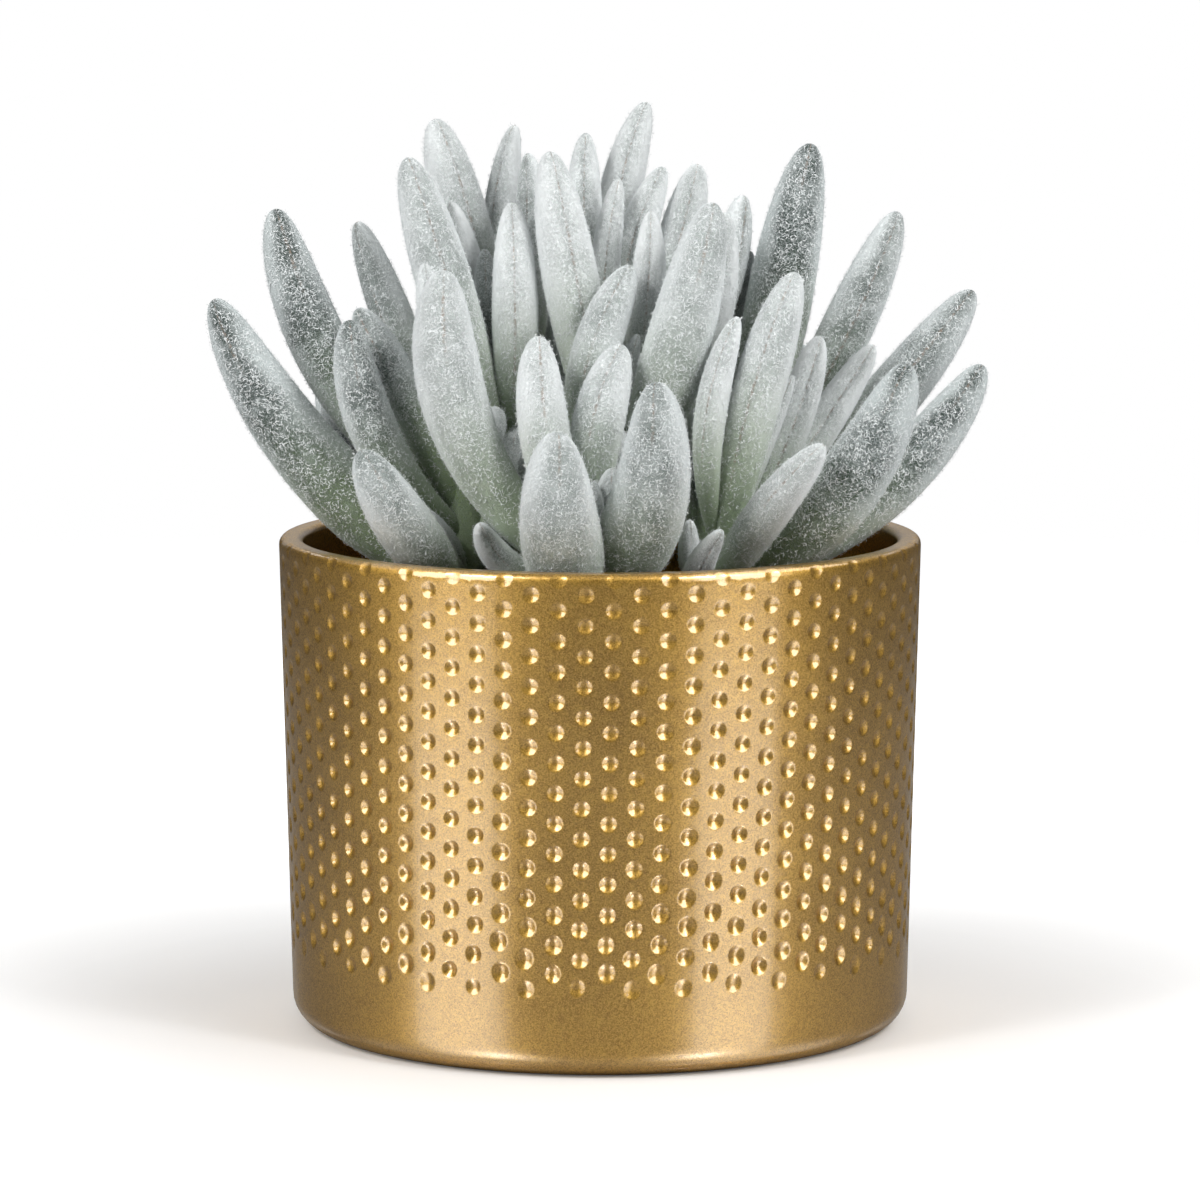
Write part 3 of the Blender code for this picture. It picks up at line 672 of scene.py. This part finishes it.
def fan_blades(name, shoot, chance):
    """Leaves spread evenly over an arc round the stem, each turned and stretched a little by chance."""
    blades = []
    for fan in shoot.fans:
        for number in range(fan.count):
            share = (number + 0.5) / fan.count - 0.5
            angle = math.radians(fan.facing + fan.spread * share + chance.uniform(-FAN_TURN, FAN_TURN))
            stretch = 1 + chance.uniform(-FAN_STRETCH, FAN_STRETCH)
            foot = stem_point(shoot, fan.root * MM)
            out = np.array((math.cos(angle), math.sin(angle), 0)) * fan.reach * MM * stretch
            rise = np.array((0, 0, fan.rise * MM * stretch))
            bend = foot + out * BEND_REACH + rise * BEND_RISE
            blade = Blade(name, shoot, fan.root, bend, foot + out + rise, fan.width, FAN_BELLY)
            blade.turn, blade.crease = 0, FAN_CREASE + FAN_CREASE_GROWTH * share
            blade.age = min(1, fan.width / OLD_WIDTH)
            blades.append(blade)
    return blades


# Leaves that would touch are moved apart until this much air is between them
LEAF_AIR = 0.6 * MM
FREE_FROM = 0.45
SAMPLES = 12
FIRST_SAMPLE = 0.08
SETTLE_ROUNDS = 120
PUSH_SHARE = 0.3
MIN_SLOPE = 0.4
MIN_LEVER = 0.15
NEAREST = 0.01 * MM


def stem_samples(shoot):
    """Points up a stem's middle line."""
    return np.linspace(stem_point(shoot, SOIL_TOP), stem_point(shoot, shoot.top[2] * MM), SAMPLES)


def reach_table(radii, shoots, along):
    """How near each sample of a leaf may come to each of another leaf or a stem. Where one stem bears
    both, their lower parts may meet."""
    reach = radii[:, :, None, None] + radii[None, None] + LEAF_AIR
    low = along < FREE_FROM
    for a, shoot in enumerate(shoots):
        same = shoots == shoot
        reach[a][np.ix_(low, same)] = 0
        reach[a][:, same] *= ~low
        reach[a, :, a] = 0
    return reach


def settle(blades):
    """Moves leaves that would touch apart: a seen leaf only along its line of sight, so that it looks
    the same from the front, and a hidden one any way. Leaves keep off the stems of other shoots too."""
    along = np.linspace(FIRST_SAMPLE, 1.0, SAMPLES)
    weights = np.array([blade.weights(along) for blade in blades])
    points = np.array([blade.points for blade in blades])
    stems = [stem_samples(shoot) for shoot in SHOOTS.values()]
    radii = [blade.radius(along) for blade in blades]
    radii = np.array(radii + [np.full(SAMPLES, STEM_RADII[0])] * len(SHOOTS))
    shoots = np.array([blade.shoot_name for blade in blades] + list(SHOOTS))
    reach = reach_table(radii, shoots, along)
    for _ in range(SETTLE_ROUNDS):
        places = np.concatenate([weights @ points, stems])
        touching = 0
        for number, blade in enumerate(blades):
            apart = places[number][:, None, None] - places[None]
            far = np.linalg.norm(apart, axis=-1).clip(min=NEAREST)
            overlap = reach[number] - far
            move = np.zeros((2, 3))
            for other in np.nonzero(overlap.max(axis=(0, 2)) > 0)[0]:
                mine, theirs = np.unravel_index(overlap[:, other].argmax(), (SAMPLES, SAMPLES))
                push = apart[mine, other, theirs] / far[mine, other, theirs]
                if blade.sight is not None:
                    slope = push @ blade.sight
                    push = blade.sight * math.copysign(1 / max(abs(slope), MIN_SLOPE), slope)
                lever = weights[number, mine, 1:]
                size = overlap[mine, other, theirs] * PUSH_SHARE / max(lever @ lever, MIN_LEVER)
                move += np.outer(lever, push) * size
                touching += 1
            points[number, 1:] += move
        if not touching:
            break
    for blade, moved in zip(blades, points):
        blade.points = moved


# Skin: a ball per leaf, with its faces drawn together along the crease
LEAF_SIDES = 32
LEAF_RINGS = 40
SMALL_LEAF = 6.0 * MM
SMALL_SIDES = 24
SMALL_RINGS = 26
DRAWN_TOGETHER = 0.72
CREASE_DEPTH = 0.24 * MM
CREASE_WIDTH = 0.42 * MM
KEEL_HEIGHT = 0.14 * MM
CHANNEL_DEPTH = 0.8 * MM
CHANNEL_WIDTH = 1.5 * MM
CHANNEL_END = 0.10
LONG_CREASE = 0.45
CREASE_SWAY = 0.22 * MM
SWAY_WAVES = 23
FULL_CREASE = 4 * MM
CREASE_FADE = 0.5
LEAST_FADE = 0.1
TIP_FADE = 0.02
KEEL_PLACE = 1.9
INWARD_RISE = 5 * MM
POLE_SHARE = 1e-6
WAVE_HEIGHT = 0.012
WAVE_SIZE = 9 * MM


class Skin:
    """A settled leaf's surface, by shares of the way from root to tip and angles from its crease."""

    def __init__(self, blade):
        self.blade = blade
        ahead = unit(blade.points[2] - blade.points[0])
        toward = EYE - blade.points[1] if blade.sight is not None else self.inward()
        toward = unit(toward - ahead * (toward @ ahead))
        turn = math.radians(blade.turn)
        self.face = toward * math.cos(turn) + np.cross(toward, ahead) * math.sin(turn)

    def inward(self):
        """The way up and back over a hidden leaf, on which its crease lies."""
        out = self.blade.points[2] - self.blade.points[0]
        return np.array((-out[0], -out[1], abs(out[2]) + INWARD_RISE))

    def axes(self, along):
        """At each share: the way ahead, the way that the crease faces, and the way across."""
        ahead = unit(self.blade.at(along + ALONG_STEP) - self.blade.at(along - ALONG_STEP))
        face = unit(self.face - ahead * (ahead @ self.face)[:, None])
        return ahead, face, np.cross(ahead, face)

    def outward(self, along, angle):
        """The way out of the leaf at each share and angle."""
        _, face, across = self.axes(along)
        return face * np.cos(angle)[:, None] + across * np.sin(angle)[:, None]

    def relief(self, along, angle):
        """How far the crease and its keel stand off the round leaf."""
        crease = self.blade.crease
        fade = ((along - 1 + crease) / max(crease * CREASE_FADE, LEAST_FADE)).clip(0, 1)
        fade = fade * ((1 - along) / TIP_FADE).clip(0, 1)
        size = min(1, self.blade.half_width / FULL_CREASE)
        sway = CREASE_SWAY * np.sin(along * SWAY_WAVES + self.blade.points[1, 0] / MM)
        off = (angle * self.blade.radius(along) - sway) / size
        groove = -CREASE_DEPTH * np.exp(-((off / CREASE_WIDTH) ** 2))
        groove += KEEL_HEIGHT * np.exp(-((off / CREASE_WIDTH - KEEL_PLACE) ** 2))
        if crease > LONG_CREASE:
            near_tip = ((1 - along) / CHANNEL_END).clip(0, 1)
            groove -= CHANNEL_DEPTH * near_tip * np.exp(-((off / CHANNEL_WIDTH) ** 2))
        return fade * size * groove

    def at(self, along, angle):
        """Points of the surface, which waves a little."""
        middle = self.blade.at(along)
        outward = self.outward(along, angle)
        radius = self.blade.radius(along)
        rough = [noise.noise(Vector(point) / WAVE_SIZE) for point in middle + outward * radius[:, None]]
        radius = radius * (1 + WAVE_HEIGHT * np.array(rough)) + self.relief(along, angle)
        return middle + outward * radius[:, None]


LEAF_READINGS = ("along", "across", "age", "crease")


def leaf_skin(skin):
    """One leaf as a mesh, with what its material reads: how far along and round it each point is."""
    bm = bmesh.new()
    layers = {name: bm.verts.layers.float.new(name) for name in LEAF_READINGS}
    small = skin.blade.half_width * 2 < SMALL_LEAF
    sides = SMALL_SIDES if small else LEAF_SIDES
    rings = SMALL_RINGS if small else LEAF_RINGS
    ball = bmesh.ops.create_uvsphere(bm, u_segments=sides, v_segments=rings, radius=1)["verts"]
    unit_ball = np.array([vertex.co for vertex in ball])
    along = (1 + unit_ball[:, 2].clip(-1, 1)) / 2
    even = np.arctan2(unit_ball[:, 1], unit_ball[:, 0])
    angle = even - DRAWN_TOGETHER * np.sin(even)
    at_pole = (along < POLE_SHARE) | (along > 1 - POLE_SHARE)
    places = np.where(at_pole[:, None], skin.blade.at(along), skin.at(along, angle))
    for vertex, place, share, turn in zip(ball, places, along, angle):
        vertex.co = place
        vertex[layers["along"]] = share
        vertex[layers["across"]] = abs(turn) / math.pi
        vertex[layers["age"]] = skin.blade.age
        vertex[layers["crease"]] = skin.blade.crease
    mesh = bpy.data.meshes.new("leaf")
    bm.to_mesh(mesh)
    bm.free()
    return mesh


def stem_skin(bm, shoot, layers):
    """Adds the stem: a woolly rod that thins to its top."""
    top = shoot.top[2] * MM
    made = bmesh.ops.create_cone(
        bm,
        segments=STEM_SIDES,
        radius1=STEM_RADII[0],
        radius2=STEM_RADII[1],
        depth=top - STEM_BOTTOM,
        cap_ends=True,
    )["verts"]
    for vertex in made:
        middle = stem_point(shoot, STEM_BOTTOM if vertex.co.z < 0 else top)
        vertex.co = Vector((vertex.co.x + middle[0], vertex.co.y + middle[1], middle[2]))
        vertex[layers["age"]] = STEM_AGE


def shoot_mesh(shoot, skins):
    """A stem with all its leaves."""
    bm = bmesh.new()
    layers = {name: bm.verts.layers.float.new(name) for name in LEAF_READINGS}
    stem_skin(bm, shoot, layers)
    for skin in skins:
        leaf = leaf_skin(skin)
        bm.from_mesh(leaf)
        bpy.data.meshes.remove(leaf)
    bmesh.ops.recalc_face_normals(bm, faces=bm.faces)
    return bm


# Wool: short curled hairs, each two triangles that bend at the middle, lying every way on the skin
HAIRS_PER_MM2 = 3.9
HAIR_LENGTHS = (0.6 * MM, 1.2 * MM)
HAIR_WIDTH = 0.11 * MM
HAIR_LIFTS = (0.055, 0.55)
HAIR_RISE = 1.4
HAIR_DROOP = 0.4
HAIR_CURLS = (0.4, 1.3)
HAIR_SUNK = 0.04 * MM
SHORT_HAIRS = 0.5
LONG_HAIR_WIDTH = 8 * MM
WOOL_FROM = 0.02
WOOL_TO = 0.995
WOOL_STEPS = 60
BARE_ROOT = 0.75
BARE_BELOW = 0.5
BARE_LENGTH = 0.4
WOOL_SEED = 21


def wool_of(skin, chance):
    """The corners of a leaf's hairs: root, two sides of the bend, and tip."""
    blade = skin.blade
    steps = np.linspace(WOOL_FROM, WOOL_TO, WOOL_STEPS)
    wide = blade.radius(steps) * (1 - BARE_ROOT * ((BARE_BELOW - steps) / BARE_LENGTH).clip(0, 1))
    count = int(math.tau * wide.mean() * blade.length / MM ** 2 * HAIRS_PER_MM2)
    spread = np.cumsum(wide)
    along = np.interp(chance.random(count), spread / spread[-1], steps)
    angle = chance.uniform(-math.pi, math.pi, count)
    ahead, _, _ = skin.axes(along)
    outward = skin.outward(along, angle)
    across = np.cross(ahead, outward)
    root = skin.at(along, angle) - outward * HAIR_SUNK
    longest = min(1, SHORT_HAIRS + blade.half_width / LONG_HAIR_WIDTH)
    half = chance.uniform(*HAIR_LENGTHS, count)[:, None] * longest / 2
    turn = chance.uniform(0, math.tau, count)[:, None]
    side = chance.choice([-1, 1], count)[:, None]
    bent = turn + side * chance.uniform(*HAIR_CURLS, count)[:, None]
    lift = chance.uniform(*HAIR_LIFTS, count)[:, None]
    first = ahead * np.cos(turn) + across * np.sin(turn) + outward * lift * HAIR_RISE
    second = ahead * np.cos(bent) + across * np.sin(bent) - outward * lift * HAIR_DROOP
    bend = root + first * half
    tip = bend + second * half
    edge = unit(np.cross(first + second, outward)) * HAIR_WIDTH / 2
    return np.stack([root, bend - edge, tip, bend + edge], axis=1)


def wool_mesh(name, skins, chance):
    """All the hairs of a shoot as one mesh: four corners and two triangles each."""
    corners = np.concatenate([wool_of(skin, chance) for skin in skins])
    first = np.arange(len(corners))[:, None, None] * 4
    triangles = (first + np.array([[0, 1, 3], [1, 2, 3]])).reshape(-1, 3)
    mesh = bpy.data.meshes.new(name)
    mesh.from_pydata(corners.reshape(-1, 3), [], triangles.tolist())
    return mesh


WOOL_WHITE = (0.82, 0.845, 0.845, 1)
WOOL_GREY = (0.50, 0.555, 0.55, 1)
GAP_YOUNG = (0.36, 0.41, 0.385, 1)
GAP_OLD = (0.065, 0.085, 0.075, 1)
BASE_YOUNG = (0.40, 0.51, 0.29, 1)
BASE_OLD = (0.26, 0.35, 0.17, 1)
CREASE_BROWN = (0.36, 0.27, 0.21, 1)

# Where the felt is thin: down the middle of each face, as painted sheen that leaves the flanks whiter,
# and for real in patches by chance and more with age
BROAD_SCALE = 75.0
BROAD_PUSH = 1.2
PAINTED_SHEEN_BAND = (0.2, 0.8)
BARE_FLANK = 0.12
PAINTED_SHEEN_CONTRAST = 0.85
BARE_YOUNG = 0.38
BARE_OLDER = 0.7
PATCH_SCALE = 260.0
PATCH_EDGES = (0.3, 0.7)
PATCH_LEAST = 0.75
PATCH_MORE = 0.35

# Ridges of wool, the green near the root, and the brown of the crease and the tip
FIBRE_SCALES = (1000.0, 1500.0)
FIBRE_CURL = 1.6
FIBRE_THINNESS = 21.0
FIBRE_COVER = 0.9
FIBRE_HEIGHT = 0.14 * MM
RISE_COVERED = 0.2
RISE_BARE = 0.8
GREY_WITH_AGE = 0.75
ROOT_EDGES = (0.25, 0.88)
ROOT_GREEN = 0.8
LINE_EDGES = (0.008, 0.032)
LINE_ENDS = (0.0, 0.15)
SPECK_SCALE = 1500.0
SPECK_EDGES = (0.46, 0.62)
SPECK_BROWN = 0.5
LINE_BROWN = 0.12
POINT_EDGES = (0.0004, 0.0014)
POINT_BROWN = 0.8


def soft_noise(build, place, scale, **more):
    """A noise of little detail, from 0 to 1 and mostly near a half."""
    values = {"Vector": place, "Scale": scale, "Detail": 1.0, **more}
    return build.node("ShaderNodeTexNoise", None, values)


def fibres(build, place, scale):
    """Thin curled lines: where a warped noise passes through its middle value."""
    swirl = soft_noise(build, place, scale, Roughness=0.5, Distortion=FIBRE_CURL)
    return (1 - build.math("ABSOLUTE", swirl - 0.5) * FIBRE_THINNESS).clamp()


def felt_finish():
    """Dense felt: curled ridges of white wool over grey-green skin. It is thin along the crease and in a
    band down the middle, and whitest on the flanks. That is painted sheen: the middle is painted darker
    and the flanks lighter. It is also greener and barer near the root."""
    constants = {
        "Roughness": 0.9,
        "Specular IOR Level": 0.15,
        "Sheen Weight": 0.6,
        "Sheen Roughness": 0.35,
        "Sheen Tint": (0.93, 0.97, 1.0, 1),
    }
    finish, build, inputs = new_finish("white_felt_leaf", constants)
    read = {
        name: build.node("ShaderNodeAttribute", {"attribute_name": name}, output=2)
        for name in LEAF_READINGS
    }
    place = build.node("ShaderNodeTexCoord", output=3)
    age = read["age"]
    from_tip = 1 - read["along"]
    ridge = build.math("MAXIMUM", *(fibres(build, place, scale) for scale in FIBRE_SCALES))
    # Painted sheen: a band down the middle of each face, round the crease that is turned toward the eye,
    # gets thinner and darker felt, and the flanks stay whitest. The patches and the thinning with age
    # are real.
    from_flank = build.math("ABSOLUTE", read["across"] - 0.5) * 2.0
    broad = soft_noise(build, place, BROAD_SCALE)
    middle = (from_flank + (broad - 0.5) * BROAD_PUSH).step(*PAINTED_SHEEN_BAND)
    patches = soft_noise(build, place, PATCH_SCALE).step(*PATCH_EDGES)
    thin_felt_and_painted_sheen = (middle * PAINTED_SHEEN_CONTRAST + BARE_FLANK) * (age * BARE_OLDER + BARE_YOUNG)
    thin_felt_and_painted_sheen = thin_felt_and_painted_sheen * (patches * PATCH_MORE + PATCH_LEAST)
    gap = build.mix(age * age, GAP_YOUNG, GAP_OLD)
    wool = build.mix(age * age * GREY_WITH_AGE, WOOL_WHITE, WOOL_GREY)
    covered = (ridge * FIBRE_COVER + (1 - thin_felt_and_painted_sheen)).clamp()
    green = build.mix(age, BASE_YOUNG, BASE_OLD)
    near_root = from_tip.step(*ROOT_EDGES) * ROOT_GREEN
    colour = build.mix(near_root, build.mix(covered, gap, wool), green)
    line = 1 - read["across"].step(*LINE_EDGES)
    within = (read["crease"] - from_tip).step(*LINE_ENDS)
    specks = soft_noise(build, place, SPECK_SCALE).step(*SPECK_EDGES)
    point = 1 - from_tip.step(*POINT_EDGES)
    brown = line * within * (specks * SPECK_BROWN + LINE_BROWN) + point * POINT_BROWN
    feed(inputs, "Base Color", build.mix(brown.clamp(), colour, CREASE_BROWN))
    height = ridge * (thin_felt_and_painted_sheen * RISE_BARE + RISE_COVERED)
    bump = {"Strength": 1.0, "Distance": FIBRE_HEIGHT, "Height": height}
    feed(inputs, "Normal", build.node("ShaderNodeBump", None, bump))
    return finish


def wool_finish():
    """The hairs: a white like the felt's, with a little sheen."""
    constants = {
        "Base Color": (0.84, 0.865, 0.865, 1),
        "Roughness": 0.85,
        "Specular IOR Level": 0.1,
        "Sheen Weight": 0.5,
    }
    return new_finish("white_wool_hairs", constants)[0]


def all_blades():
    """Every leaf of every shoot, moved apart from its neighbours."""
    chance = random.Random(FAN_SEED)
    blades = []
    for name, shoot in SHOOTS.items():
        blades += seen_blades(name, shoot)
        blades += fan_blades(name, shoot, chance)
    settle(blades)
    return blades


skins = [Skin(blade) for blade in all_blades()]
felt = felt_finish()
wool = wool_finish()
wool_chance = np.random.default_rng(WOOL_SEED)
for shoot_name, shoot in SHOOTS.items():
    own = [skin for skin in skins if skin.blade.shoot_name == shoot_name]
    leaves = new_piece(shoot_name + "_leaves", shoot_mesh(shoot, own), felt)
    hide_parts(shoot_name)
    hairs = bpy.data.objects.new(shoot_name + "_wool", wool_mesh(shoot_name + "_wool", own, wool_chance))
    hairs.data.materials.append(wool)
    bpy.context.scene.collection.objects.link(hairs)
    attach(hairs, "root")

# The studio
# A white table that fades into a white room. Two big softboxes stand at the front corners with a dark
# gap between them, as the gold's bright bands show, with a small bright lamp near each, a paler box at
# either side, a wide one overhead, and two behind that light the leaves' edges and the pot's rim.
FLOOR_RADIUS = 0.75
FLOOR_FADE = (0.30, 0.70)
FLOOR_GLOW = 0.62
FLOOR_SIDES = 96
# Painted shade: the table's glow is dim near the pot and grows to full between 5 and 20 cm from its
# middle
PAINTED_SHADE_REACH = (0.05, 0.20)
PAINTED_SHADE_GLOW = (0.1, 0.1, 0.1, 1)
FULL_GLOW = (1, 1, 1, 1)
MATT_GREY = (0.22, 0.22, 0.22, 1)
GLOSS_GREY = (0.9, 0.9, 0.9, 1)
GLOSS_SHARE = 0.45
FOCUS = Vector((0, 0, 70 * MM))
ROOM_LIGHT = 0.055
CAMERA_SENSOR = 36.0
FRAME_SIZE = 1200

Softbox = namedtuple("Softbox", "azimuth elevation distance width height power")
SOFTBOXES = {
    "left": Softbox(-53, 26, 0.85, 0.54, 0.80, 4.9),
    "right": Softbox(49, 26, 0.85, 0.50, 0.80, 4.5),
    "left_spot": Softbox(-45, 40, 0.85, 0.12, 0.12, 1.5),
    "right_spot": Softbox(45, 40, 0.85, 0.12, 0.12, 1.5),
    "left_side": Softbox(-98, 52, 0.85, 0.60, 0.60, 0.7),
    "right_side": Softbox(95, 52, 0.85, 0.60, 0.60, 2.0),
    "top": Softbox(12, 64, 0.95, 2.00, 1.00, 1.1),
    "back": Softbox(180, 42, 1.10, 1.40, 0.60, 3.4),
    "back_low": Softbox(180, 12, 1.20, 1.10, 0.36, 0.35),
}


def white_table():
    """A round table that glows faintly and turns clear towards its edge. Its glow is dim near the pot
    and full farther out: a painted shade round the pot's foot, on top of the real shadow there. Only the
    eye sees it white: to the pot it is grey and half glossy, so that it doesn't wash out the bands on
    the gold."""
    bm = bmesh.new()
    bmesh.ops.create_circle(bm, segments=FLOOR_SIDES, radius=FLOOR_RADIUS, cap_ends=True)
    mesh = bpy.data.meshes.new("table")
    bm.to_mesh(mesh)
    bm.free()
    constants = {
        "Base Color": (0.78, 0.78, 0.78, 1),
        "Roughness": 0.7,
        "Specular IOR Level": 0.1,
        "Emission Strength": FLOOR_GLOW,
    }
    finish, build, inputs = new_finish("white_table", constants)
    place = build.node("ShaderNodeTexCoord", output=3)
    far = build.node("ShaderNodeVectorMath", {"operation": "LENGTH"}, {0: place}, output=1)
    # Painted shade round the pot: the glow is dim near its foot
    feed(inputs, "Emission Color", build.mix(far.step(*PAINTED_SHADE_REACH), PAINTED_SHADE_GLOW, FULL_GLOW))
    clear = build.node("ShaderNodeBsdfTransparent")
    matt = build.node("ShaderNodeBsdfDiffuse", None, {"Color": MATT_GREY})
    gloss = build.node("ShaderNodeBsdfGlossy", None, {"Color": GLOSS_GREY, "Roughness": 0.25})
    grey = build.node("ShaderNodeMixShader", None, {0: GLOSS_SHARE, 1: matt, 2: gloss})
    seen = build.node("ShaderNodeLightPath")
    nodes = finish.node_tree.nodes
    solid = Socket(finish.node_tree, nodes["Principled BSDF"].outputs[0])
    solid = build.node("ShaderNodeMixShader", None, {0: seen, 1: grey, 2: solid})
    mixed = build.node("ShaderNodeMixShader", None, {0: far.step(*FLOOR_FADE), 1: solid, 2: clear})
    feed(nodes["Material Output"].inputs, "Surface", mixed)
    mesh.materials.append(finish)
    table = bpy.data.objects.new("table", mesh)
    bpy.context.scene.collection.objects.link(table)


def white_room():
    """The room is white to the eye and dim as a light."""
    world = bpy.data.worlds.new("white_room")
    world.use_nodes = True
    build = Socket(world.node_tree)
    seen = build.node("ShaderNodeLightPath")
    strength = seen * (1 - ROOM_LIGHT) + ROOM_LIGHT
    feed(world.node_tree.nodes["Background"].inputs, "Strength", strength)
    world.node_tree.nodes["Background"].inputs["Color"].default_value = (1, 1, 1, 1)
    bpy.context.scene.world = world


def add_softbox(name, box):
    """A softbox at its turn round the pot and rise above it, facing the pot's middle."""
    turn, rise = math.radians(box.azimuth), math.radians(box.elevation)
    way = Vector((math.sin(turn) * math.cos(rise), -math.cos(turn) * math.cos(rise), math.sin(rise)))
    lamp = bpy.data.lights.new(name, "AREA")
    lamp.shape = "RECTANGLE"
    lamp.size = box.width
    lamp.size_y = box.height
    lamp.energy = box.power
    light = bpy.data.objects.new(name, lamp)
    light.location = FOCUS + way * box.distance
    light.rotation_euler = way.to_track_quat("Z", "Y").to_euler()
    light.visible_camera = False
    bpy.context.scene.collection.objects.link(light)


def add_camera():
    """The photo's camera, as it was fitted to the pot's outline."""
    lens = bpy.data.cameras.new("camera")
    lens.sensor_width = CAMERA_SENSOR
    lens.lens = CAMERA_SENSOR * EYE_FOCUS / FRAME_SIZE
    lens.clip_start = 0.01
    camera = bpy.data.objects.new("camera", lens)
    camera.location = EYE
    camera.rotation_euler = (math.pi / 2 - EYE_PITCH, 0, 0)
    bpy.context.scene.collection.objects.link(camera)
    bpy.context.scene.camera = camera


white_table()
white_room()
for box_name, box in SOFTBOXES.items():
    add_softbox(box_name, box)
add_camera()
bpy.context.scene.view_settings.view_transform = "Standard"
